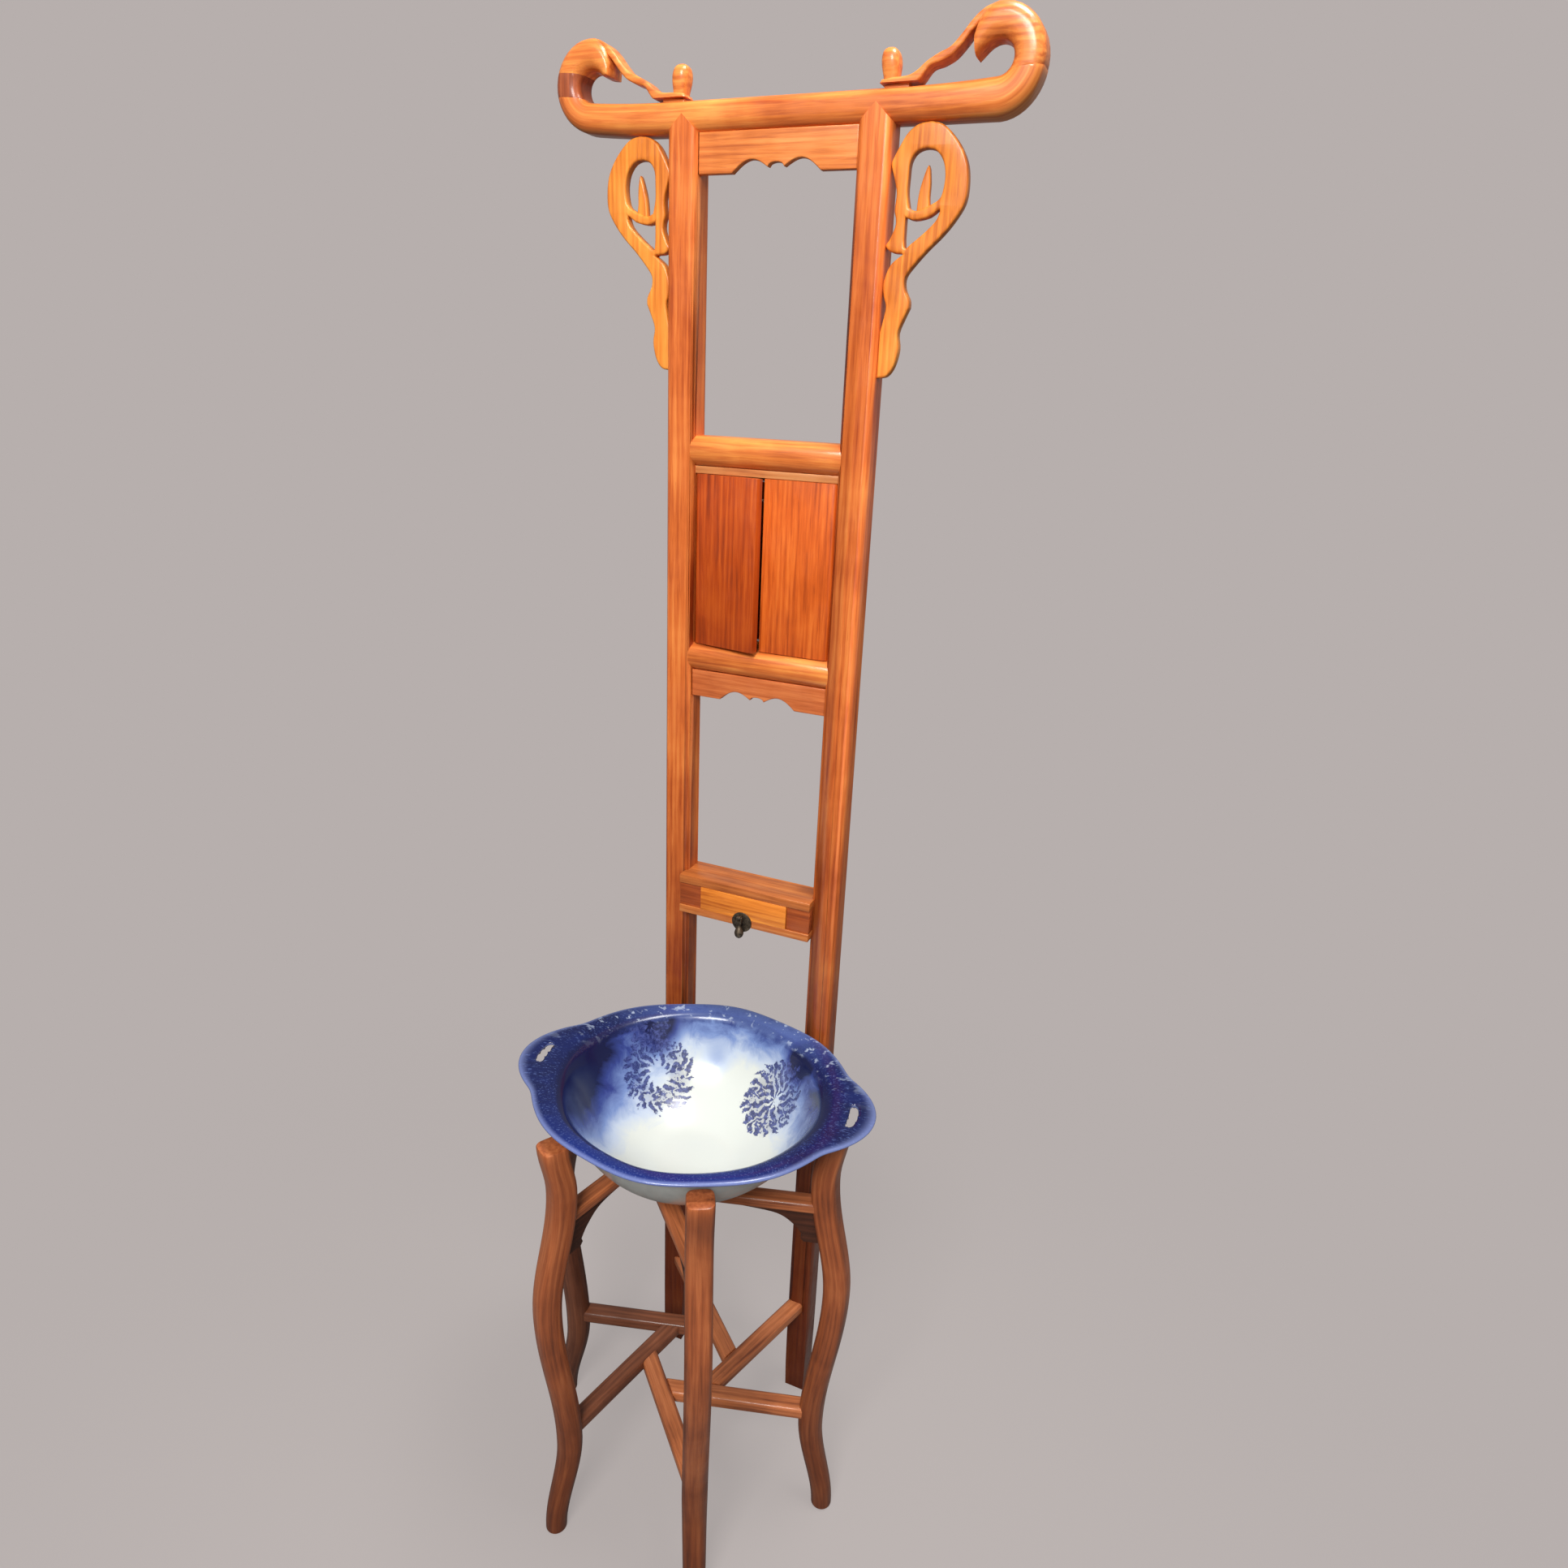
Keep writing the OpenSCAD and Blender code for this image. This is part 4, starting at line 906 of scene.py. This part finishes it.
@dataclass
class Crest:
    """The crest rail, its two curled heads and the block let into the left curl.

    Attributes:
        bend_x, bend_r: Where the rail starts to rise, and the radius of that rise.
        hole_r: Radius of a curl's hole.
        joint: Height of the head's joint above the hole's lowest point.
        joint_x: The rail is cut at that joint only farther out than this.
        raised: Height at which the ribbon ends above the rail.
        swells: How much thicker the left and right ends are.
        tilt: Slope of the rail's ends, in radians.
    """

    depth: float = 36
    thick: float = 32
    radius: float = 12
    base: float = 1833
    bend_x: float = 136
    bend_r: float = 1390
    hole_r: float = 16
    joint: float = 3
    joint_x: float = 190
    splice_h: float = 24
    ribbon_d: float = 24
    raised: float = 4
    swells: Point = (-1, 4)
    tilt: float = math.asin(0.07584)

    @property
    def curl(self) -> Vector:
        """Returns the middle of the right curl."""
        d = self.bend_r - self.thick - self.hole_r
        return Vector((self.bend_x + d * math.sin(self.tilt), RING.post_back,
                       self.base + self.bend_r - d * math.cos(self.tilt)))

    def at(self, x: float, y: float) -> Vector:
        """Returns the place of a point given inwards and upwards from the right curl's middle."""
        c, s = math.cos(self.tilt), math.sin(self.tilt)
        return self.curl + Vector((-x * c - y * s, 0, -x * s + y * c))

    def turn_at(self, angle: float, swell: float = 0) -> Matrix:
        """Places the rail's section on the right curl, at an angle in radians from its lowest point."""
        up = self.at(-math.sin(angle), -math.cos(angle)) - self.curl
        more = swell * max(math.cos(angle), 0) ** 2
        return placed(self.curl + up * (self.hole_r + (self.thick + more) / 2), BACK, -up,
                      (1, 1 + more / self.thick))

    def rise_at(self, angle: float, swell: float) -> Matrix:
        """Places the rail's section on the right rise, at an angle in radians."""
        up = Vector((-math.sin(angle), 0, math.cos(angle)))
        middle = Vector((self.bend_x, RING.post_back, self.base + self.bend_r))
        more = swell * (angle / self.tilt) ** 2
        return placed(middle - up * (self.bend_r - (self.thick - more) / 2), BACK, up,
                      (1, 1 + more / self.thick))

    def blank(self) -> Blank:
        """Starts a blank with the rail's section."""
        blank = Blank()
        blank.section(self.depth, self.thick, self.radius, self.radius / 2)
        return blank

    def mirrored(self, stations: list[Matrix]) -> list[Matrix]:
        """Turns stations of the right end into those of the left end, in the order of the left."""
        turn = Matrix.Diagonal((1, 1, -1, 1))
        return [MIRROR @ station @ turn for station in reversed(stations)]

    def rail(self) -> None:
        """Makes the rail from curl to curl."""
        rail = self.blank()
        left, right = ([self.rise_at(self.tilt * i / 8, swell) for i in range(9)]
                       + [self.turn_at(math.radians(7.5 * i), swell) for i in range(1, 13)]
                       for swell in self.swells)
        middle = [placed(Vector((x, RING.post_back, self.base + self.thick / 2)), BACK, UP)
                  for x in range(-120, 121, 40)]
        rail.sweep(self.mirrored(left) + middle + right)
        up = self.at(0, 1) - self.curl
        point = self.at(0, self.joint - self.hole_r)
        rail.cut(point, up, beyond=self.joint_x)
        rail.cut(MIRROR @ point, MIRROR @ up, beyond=self.joint_x)
        rail.ease(0.5, 60)
        rail.piece("crest_rail", CREST, SWEPT)

    def band(self, low: float, high: float | None) -> Blank:
        """Makes the part of the right curl between two heights.

        Args:
            low: Lower cut, from the curl's middle.
            high: Upper cut, or None for a band that runs on into the beak.

        Returns:
            The blank.
        """
        band = self.blank()
        stations = [self.turn_at(math.radians(a)) for a in range(18, 181, 9)]
        if high is None:
            inner = [(4, 15.6), (9, 13.8), (14, 10.4), (18.5, 6.6), (22.5, 3.4)]
            outer = [(6, 46.8), (12, 43), (17, 38.5), (20.5, 32.5), (23.5, 25)]
            for (a, b), (c, d), deep in zip(inner, outer, (1, 0.99, 0.97, 0.95, 0.92)):
                low_point, high_point = self.at(a, b), self.at(c, d)
                up = low_point - high_point
                stations.append(placed((low_point + high_point) / 2, BACK, up.normalized(),
                                       (deep, up.length / self.thick)))
        band.sweep(stations)
        up = self.at(0, 1) - self.curl
        band.cut(self.at(0, low), -up)
        if high is not None:
            band.cut(self.at(0, high), up)
        band.ease(0.5, 60)
        return band

    def ribbon(self) -> Blank:
        """Makes the ribbon that runs from the right head down to the rail, and its finial."""
        h = self.hole_r
        line = [(2, h + 18), (14, h + 20)]
        line += smooth_line([(20, h + 15.5), (28, h + 8.5), (36, h + 0.5), (46, h - 7.5), (58, h - 12),
                             (70, 1.5), (80, 7.5 - h), (88, 3 - h)], 5)
        line += [(92, -h - 6), (124, -h - 6), (124, 9 - h), (121, 12.5 - h)]
        line += smooth_line([(108, 13 - h), (94, 12.5 - h), (84, 15.5 - h), (73, 6.5), (60, 12), (48, h),
                             (36, h + 10), (28, h + 18), (19, h + 25), (10, h + 29), (0, h + 30)], 5)
        ribbon = Blank()
        ribbon.plate(line, self.ribbon_d, 2.2)
        plinth = Blank()
        plinth.plate([(93, -h - 6), (120, -h - 6), (120, 8 - h), (93, 8 - h)], self.ribbon_d / 2, 0.8)
        lean = Matrix.Translation(self.curl) @ Matrix.Rotation(-self.tilt, 4, "Y") @ MIRROR
        top = self.base + self.thick
        for blank, gap in ((ribbon, self.raised), (plinth, 0.15)):
            blank.move(lean)
            blank.cut(UP * (top + gap), -UP)
        ribbon.join(plinth)
        finial = Blank()
        finial.section(19, self.ribbon_d, 7.5, 7.5)
        rows = [(7, 0.8), (11, 0.84), (15, 0.92), (20, 1), (25, 1.02), (29, 0.98), (32.5, 0.87), (35, 0.7),
                (36.6, 0.46), (37.2, 0.2)]
        foot = self.at(112.5, 0)
        finial.sweep([Matrix.Translation((foot.x - z * 0.07, RING.post_back, top + z))
                      @ Matrix.Diagonal((s, s, 1, 1)) for z, s in rows])
        ribbon.join(finial)
        return ribbon

    def build(self) -> None:
        """Makes the whole crest."""
        self.rail()
        low = self.joint - self.hole_r
        high = low + self.splice_h
        for name, start, side in (("crest_head_right", low, Matrix()), ("crest_head_left", high, MIRROR)):
            head = self.band(start, None)
            head.join(self.ribbon())
            head.move(side)
            head.piece(name, CREST, ACROSS, angle=40)
        splice = self.band(low, high)
        splice.move(MIRROR)
        splice.piece("crest_splice_left", SPLICE, UPRIGHT)


@dataclass
class Carvings:
    """The scalloped aprons and the pierced side brackets.

    Attributes:
        inner, outer_face: Distances from the middle to a post's two side faces.
        front: Distance from the ring's middle back to the posts' front faces.
        apron_back, bracket_back: How far a piece stands behind those faces.
        cusp, reach: Distances at which the middle scallop and all the scallops end.
        outer, stem, neck, inside: A bracket's outline, out from the post and up from the crest.
        eye, heel, leaf: Its openings, and the leaf in the upper one.
    """

    inner: float = 96
    front: float = 156.5
    apron_t: float = 10
    apron_back: float = 6.5
    scallop_h: float = 10.5
    cusp: int = 10
    reach: int = 54
    base: float = 1833
    bracket_t: float = 13
    bracket_back: float = 8
    outer_face: float = 134
    outer: tuple = ((40, -0.5), (52, -3), (63, -11), (75, -25), (83, -41), (85.5, -60), (83.5, -77),
                    (74, -93), (62, -107), (47, -121), (33, -136), (25, -147), (25, -158), (31, -170),
                    (31.5, -178))
    stem: tuple = ((31.5, -178), (26, -190), (21, -204), (23, -220), (19, -238), (11, -249), (0, -251))
    neck: tuple = ((0, -203), (3, -190), (5, -177), (2, -168), (0, -156), (2, -146), (8, -134), (20, -125))
    inside: tuple = ((20, -124), (8, -123), (0, -117), (4, -110), (9, -98), (9, -90), (7, -82), (8, -66),
                     (4, -51), (0, -39), (3, -31), (8, -22), (16, -10), (27, -2.5), (40, -0.5))
    eye: tuple = ((23, -80), (20, -66), (20, -51), (21, -37), (27, -28), (38, -25), (49, -28), (57, -38),
                  (60, -51), (59, -64), (56, -72), (48, -77), (38, -81), (30, -83))
    leaf: tuple = ((31, -85), (32, -69), (35, -55), (41, -40), (44, -56), (44, -70), (46, -83))
    heel: tuple = ((20, -89), (30, -92), (46, -89), (57, -82), (55, -91), (48, -99), (36, -109),
                   (29, -114), (21, -118))

    def scallop(self, a: float) -> float:
        """Returns the rise of an apron's lower edge at a distance from its middle."""
        if a < self.cusp:
            return self.scallop_h / 2 * (1 + math.sqrt(1 - (a / self.cusp) ** 2) * 0.9)
        if a > self.reach:
            return 0
        t = (a - self.cusp) / (self.reach - self.cusp)
        return self.scallop_h / 2 * (1 - t) + self.scallop_h * math.sin(math.pi * t)

    def apron(self, top: float, h: float, name: str, finish: Wood) -> None:
        """Makes one apron.

        Args:
            top: Height of its upper edge.
            h: Its height.
            name: The piece's and solid's name.
            finish: What it is finished in.
        """
        low = top - h
        line = [(-self.inner, top), (-self.inner, low)]
        line += [(x, low + self.scallop(abs(x))) for x in range(-self.reach, self.reach + 1, 2)]
        line += [(self.inner, low), (self.inner, top)]
        apron = Blank()
        apron.plate(line, self.apron_t, 1.4)
        apron.move(Matrix.Translation((0, self.front + self.apron_back + self.apron_t / 2, 0)))
        apron.piece(name, finish, ACROSS)

    def bracket(self, side: Matrix, name: str) -> None:
        """Makes one side bracket, by what brings the right one to its side and by its name."""
        line = smooth_line(self.outer) + smooth_line(self.stem)[1:]
        line += smooth_line(self.neck) + smooth_line(self.inside)[1:]
        bracket = Blank()
        bracket.plate(line, self.bracket_t, 2.4, [smooth_line([*hole, hole[0]], 3)[:-1]
                                                  for hole in (self.eye, self.heel)])
        leaf = Blank()
        leaf.plate(smooth_line(self.leaf, 3), 9, 2.2)
        bracket.join(leaf)
        middle = self.front + self.bracket_back + self.bracket_t / 2
        bracket.move(side @ Matrix.Translation((self.outer_face, middle, self.base)))
        bracket.piece(name, CARVING, UPRIGHT)

    def build(self) -> None:
        """Makes both aprons and both brackets."""
        self.apron(self.base, 42, "upper_apron", APRON)
        self.apron(1210, 36, "lower_apron", LOW_APRON)
        self.bracket(Matrix(), "side_bracket_right")
        self.bracket(MIRROR, "side_bracket_left")


@dataclass
class Copies:
    """Pieces whose solids already have the real shape.

    Attributes:
        rows: Name, finish, grain, width of the eased edges, and the body if it moves.
    """

    rows: tuple = (
        ("right_post", FRAME, UPRIGHT, 0.6),
        ("left_post", FRAME, UPRIGHT, 0.6),
        ("upper_door_rail", CREST, ACROSS, 0.8),
        ("lower_door_rail", CREST, ACROSS, 0.8),
        ("door_head_strip", STRIP, ACROSS, 0.6),
        # The left door wears the darker copy of the door wood, which carries painted shade.
        ("left_door", DOOR_LEFT_SHADED, UPRIGHT, 0.7, "left_door"),
        ("right_door", DOOR_RIGHT, UPRIGHT, 0.7, "right_door"),
        ("mirror_backboard", DARK, UPRIGHT, 0.5),
        ("mirror", SILVERED, UPRIGHT, 0.3),
        ("case_top", BOARD, ACROSS, 1.2),
        ("case_bottom", BOARD, ACROSS, 1.2),
        ("case_back", DARK, ACROSS, 0.5),
        ("case_block_left", BLOCK, ACROSS, 0.8),
        ("case_block_right", BLOCK, ACROSS, 0.8),
        ("drawer_front", CARVING, ACROSS, 0.7, "drawer"),
        ("drawer_side_left", PLAIN, DEEP, 0.4, "drawer"),
        ("drawer_side_right", PLAIN, DEEP, 0.4, "drawer"),
        ("drawer_back", PLAIN, ACROSS, 0.4, "drawer"),
        ("drawer_bottom", PLAIN, ACROSS, 0.3, "drawer"),
        ("pull_plate", BRASS, UPRIGHT, 0.35, "drawer"),
        ("pull_staple", BRASS, UPRIGHT, 0.25, "drawer"),
        ("pull_drop", BRASS, UPRIGHT, 0.2, "pull_drop"))

    def build(self) -> None:
        """Makes each copy."""
        for row in self.rows:
            eased(*row)


@dataclass
class WashBowl:
    """The porcelain wash bowl with its two finger-slot handles.

    Attributes:
        right, front, seat, turn: Its place: right, front, height and turn in degrees.
        oval, scallop, lobes: The rim's oval, and the depth and count of its scallops.
        handle_reach, handle_half: A handle's length and half its angle, in degrees.
        slot_r, slot_z, slot_end: A finger slot's distance, height and half its angle.
        slot_band: Distances between which a slot's faces lie.
        slot_ends: Shares by which a slot's ends are drawn in, across and round.
        slot_rows: Rows of the profile at a slot's two long sides.
        glaze_r: Distance at which the glaze's figure stops growing.
        profile: Distance and height of each row, and its share of the rim and the handles.
    """

    right: float = 10
    front: float = 22
    seat: float = 563.3
    turn: float = 8
    oval: float = 28
    scallop: float = 1.5
    lobes: int = 8
    handle_reach: float = 27
    handle_half: float = 22
    steps: int = 120
    slot_r: float = 217
    slot_z: float = 136.4
    slot_end: float = 6
    slot_band: Point = (211, 223)
    slot_ends: Point = (0.75, 0.84)
    glaze_r: float = 245
    slot_rows: tuple = ((178.5, 139.3), (181.6, 139.7), (183.5, 133.4), (180.5, 133.0))
    profile: tuple = (
        (0, 13, 0, 0), (26, 13, 0, 0), (46, 13.3, 0, 0), (60, 16, 0, 0), (74, 23, 0, 0), (90, 32, 0, 0),
        (105, 42, 0, 0), (120, 54.5, 0.01, 0), (132, 68.5, 0.03, 0), (141, 82, 0.07, 0),
        (147.5, 95, 0.12, 0), (152.5, 107, 0.18, 0), (156.5, 118, 0.25, 0), (159.5, 127, 0.33, 0),
        (162.5, 132.5, 0.4, 0), (167, 136, 0.47, 0.04), (172, 138, 0.56, 0.2), (178.5, 139.3, 0.68, 0.48),
        (180, 139.5, 0.735, 0.57), (181.6, 139.7, 0.79, 0.65), (185, 139.8, 0.93, 0.88),
        (188, 139.2, 0.99, 0.98), (190, 137.4, 1, 1), (189.6, 135.2, 1, 1), (187, 133.9, 0.9, 0.86),
        (183.5, 133.4, 0.74, 0.64), (182, 133.2, 0.68, 0.555), (180.5, 133, 0.62, 0.47),
        (175, 131.8, 0.6, 0.22), (169.5, 128, 0.52, 0.06), (165.8, 121.5, 0.44, 0), (163, 113, 0.36, 0),
        (160, 103, 0.26, 0), (155.5, 92, 0.17, 0), (142, 67, 0.05, 0), (127, 51, 0, 0), (112, 37, 0, 0),
        (96, 25, 0, 0), (80, 13, 0, 0), (71, 6, 0, 0), (69, 2, 0, 0), (67, 0.1, 0, 0), (61, 0.1, 0, 0),
        (58, 2, 0, 0), (55, 4, 0, 0), (30, 4.4, 0, 0), (0, 4.5, 0, 0))

    def rim(self, angle: float) -> float:
        """Returns how far the rim reaches beyond a circle."""
        return self.oval * abs(math.cos(angle)) ** 3 + self.scallop * math.cos(self.lobes * angle)

    def off_axis(self, angle: float) -> float:
        """Returns the angle from the nearer handle, in degrees."""
        a = abs(math.degrees(angle))
        return min(a, abs(a - 180))

    def handle(self, angle: float) -> float:
        """Returns how far a handle reaches beyond the rim."""
        share = min(self.off_axis(angle) / self.handle_half, 1)
        return self.handle_reach * math.cos(math.pi / 2 * share)

    def shape(self, bowl: Blank) -> None:
        """Draws the round blank out to its scallops and handles, and marks the glaze's coordinates."""
        lengths = [0.0]
        for a, b in zip(self.profile, self.profile[1:]):
            lengths.append(lengths[-1] + math.hypot(b[0] - a[0], b[1] - a[1]))
        rows = {(round(p[0], 2), round(p[1], 2)): (p, s) for p, s in zip(self.profile, lengths)}
        glaze = bowl.mesh.verts.layers.float_vector.new("glaze")
        for vert in bowl.mesh.verts:
            radius = math.hypot(vert.co.x, vert.co.y)
            p, along = rows[min(rows, key=lambda k: (k[0] - radius) ** 2 + (k[1] - vert.co.z) ** 2)]
            angle = math.atan2(vert.co.y, vert.co.x)
            reach = p[0] + p[2] * self.rim(angle) + p[3] * self.handle(angle)
            if (p[0], p[1]) in self.slot_rows and abs(self.off_axis(angle) - self.slot_end) < 0.1:
                reach = self.slot_r + (reach - self.slot_r) * self.slot_ends[0]
                toward = 0 if abs(angle) < 1 else math.copysign(math.pi, angle)
                angle = toward + (angle - toward) * self.slot_ends[1]
            c, s = math.cos(angle), math.sin(angle)
            vert.co = (reach * c, reach * s, vert.co.z)
            far = min(along, self.glaze_r)
            vert[glaze] = (far * c * MM, far * s * MM, along * MM)

    def slots(self, bowl: Blank) -> None:
        """Cuts the finger slots through both handles of the shaped blank and closes their walls."""
        low, high = self.slot_band

        def in_slot(middle: Vector) -> bool:
            """Tells whether a face's middle lies in a slot."""
            return (self.off_axis(math.atan2(middle.y, middle.x)) < self.slot_end
                    and low < middle.xy.length < high and abs(middle.z - self.slot_z) < 5)

        for side in (1, -1):
            middles = {face: face.calc_center_median() for face in bowl.mesh.faces}
            found = [face for face, middle in middles.items() if middle.x * side > 0 and in_slot(middle)]
            bmesh.ops.delete(bowl.mesh, geom=found, context="FACES_ONLY")
            bmesh.ops.bridge_loops(bowl.mesh, edges=[e for e in bowl.mesh.edges if e.is_boundary])

    def build(self) -> None:
        """Makes the bowl."""
        bowl = Blank()
        verts = [bowl.mesh.verts.new((p[0], 0, p[1])) for p in self.profile]
        edges = [bowl.mesh.edges.new(pair) for pair in zip(verts, verts[1:])]
        bmesh.ops.spin(bowl.mesh, geom=[*verts, *edges], cent=(0, 0, 0), axis=(0, 0, 1), dvec=(0, 0, 0),
                       angle=2 * math.pi, steps=self.steps, use_merge=True, use_duplicate=False)
        bmesh.ops.remove_doubles(bowl.mesh, verts=bowl.mesh.verts, dist=0.01)
        self.shape(bowl)
        self.slots(bowl)
        bowl.move(Matrix.Translation((self.right, -self.front, self.seat)) @ turned(self.turn))
        bowl.piece("wash_bowl", GLAZE, UPRIGHT, "wash_bowl", levels=2, angle=180)


@dataclass
class Studio:
    """A plain floor, soft light and the photograph's camera.

    Attributes:
        paper: Colour of the backdrop and of the floor in the picture.
        carpet: Colour of the floor for the light that it throws back.
        picture, focal, shift: The camera's width, focal length and shift in the photo's pixels.
        place, yaw, pitch, roll: Where it stands, in metres, and how it is turned, in radians.
        lamps: Name, place, target, size, power and colour of each lamp.
    """

    paper: Colour = tint("b7afad")
    carpet: Colour = (0.17, 0.16, 0.155)
    daylight: Colour = (0.95, 0.97, 1)
    daylight_power: float = 0.28
    picture: float = 1932
    focal: float = 1269.094
    shift: float = 2
    sensor: float = 36
    place: tuple = (0.53239, -1.03557 + RING_Y * MM, 1.5604)
    yaw: float = 0.38789
    pitch: float = 0.36153
    roll: float = 0.04627
    lamps: tuple = (("key", (0.4, -2.5, 3.2), (0, 0.1, 1.0), (1.3, 1.1), 118, (1, 0.98, 0.95)),
                    ("top", (0.6, 0.1, 3.4), (0, 0.1, 1.0), (0.9, 0.7), 48, (1, 0.99, 0.96)),
                    ("fill", (2.2, -2.2, 1.4), (0, 0.1, 0.9), (1.6, 2.0), 7, (0.96, 0.98, 1)))

    def camera(self) -> None:
        """Places the camera."""
        data = bpy.data.cameras.new("camera")
        data.sensor_width = self.sensor
        data.lens = self.sensor * self.focal / self.picture
        data.shift_x = self.shift / self.picture
        camera = shown("camera", data)
        tilt = Matrix.Rotation(math.pi / 2 - self.pitch, 4, "X")
        camera.matrix_world = (Matrix.Translation(self.place) @ Matrix.Rotation(self.yaw, 4, "Z") @ tilt
                               @ Matrix.Rotation(self.roll, 4, "Z"))
        bpy.context.scene.camera = camera

    def lamp(self, name: str, place: tuple, target: tuple, size: Point, power: float,
             colour: Colour) -> None:
        """Hangs a soft rectangular lamp at a place, pointed at a target, both in metres."""
        data = bpy.data.lights.new(name, "AREA")
        data.shape = "RECTANGLE"
        data.size, data.size_y = size
        data.energy = power
        data.color = colour
        lamp = shown(name, data)
        lamp.location = place
        lamp.rotation_euler = (Vector(target) - Vector(place)).to_track_quat("-Z", "Y").to_euler()

    def floor(self) -> None:
        """Lays the floor, which keeps the object's shadow."""
        material = bpy.data.materials.new("floor")
        g = Graph(material)
        glow = g.add("Emission")
        g.fill(glow, Color=self.paper)
        ray = g.out(g.add("LightPath"), "Is Camera Ray")
        g.set(Base_Color=g.mix(ray, self.carpet, self.paper), Roughness=0.9)
        x, y, _ = g.split(g.place())
        away = g.math("SQRT", x * x + y * y)
        g.blend(ray * g.step(away, 0.35, 1.6, 0.72, 1), g.shader, glow)
        mesh = bpy.data.meshes.new("floor")
        bm = bmesh.new()
        bmesh.ops.create_circle(bm, cap_ends=True, radius=12, segments=96)
        bm.to_mesh(mesh)
        bm.free()
        mesh.materials.append(material)
        shown("floor", mesh)

    def world(self) -> None:
        """Sets the plain surroundings."""
        world = bpy.context.scene.world = bpy.data.worlds.new("studio")
        g = Graph(world)
        light = g.add("Background")
        g.fill(light, Color=self.daylight, Strength=self.daylight_power)
        g.set(Color=self.paper, Strength=1)
        g.blend(g.out(g.add("LightPath"), "Is Camera Ray"), light, g.shader)

    def build(self) -> None:
        """Sets up the whole studio."""
        self.camera()
        self.floor()
        self.world()
        for lamp in self.lamps:
            self.lamp(*lamp)
        bpy.context.scene.view_settings.view_transform = "Standard"


def main() -> None:
    """Builds every piece and the studio around them."""
    logging.basicConfig(level=logging.INFO, format="%(message)s")
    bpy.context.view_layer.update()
    for part in (Legs(), Stretchers(), Crest(), Carvings(), Copies(), WashBowl(), Studio()):
        part.build()


if __name__ == "__main__":
    main()
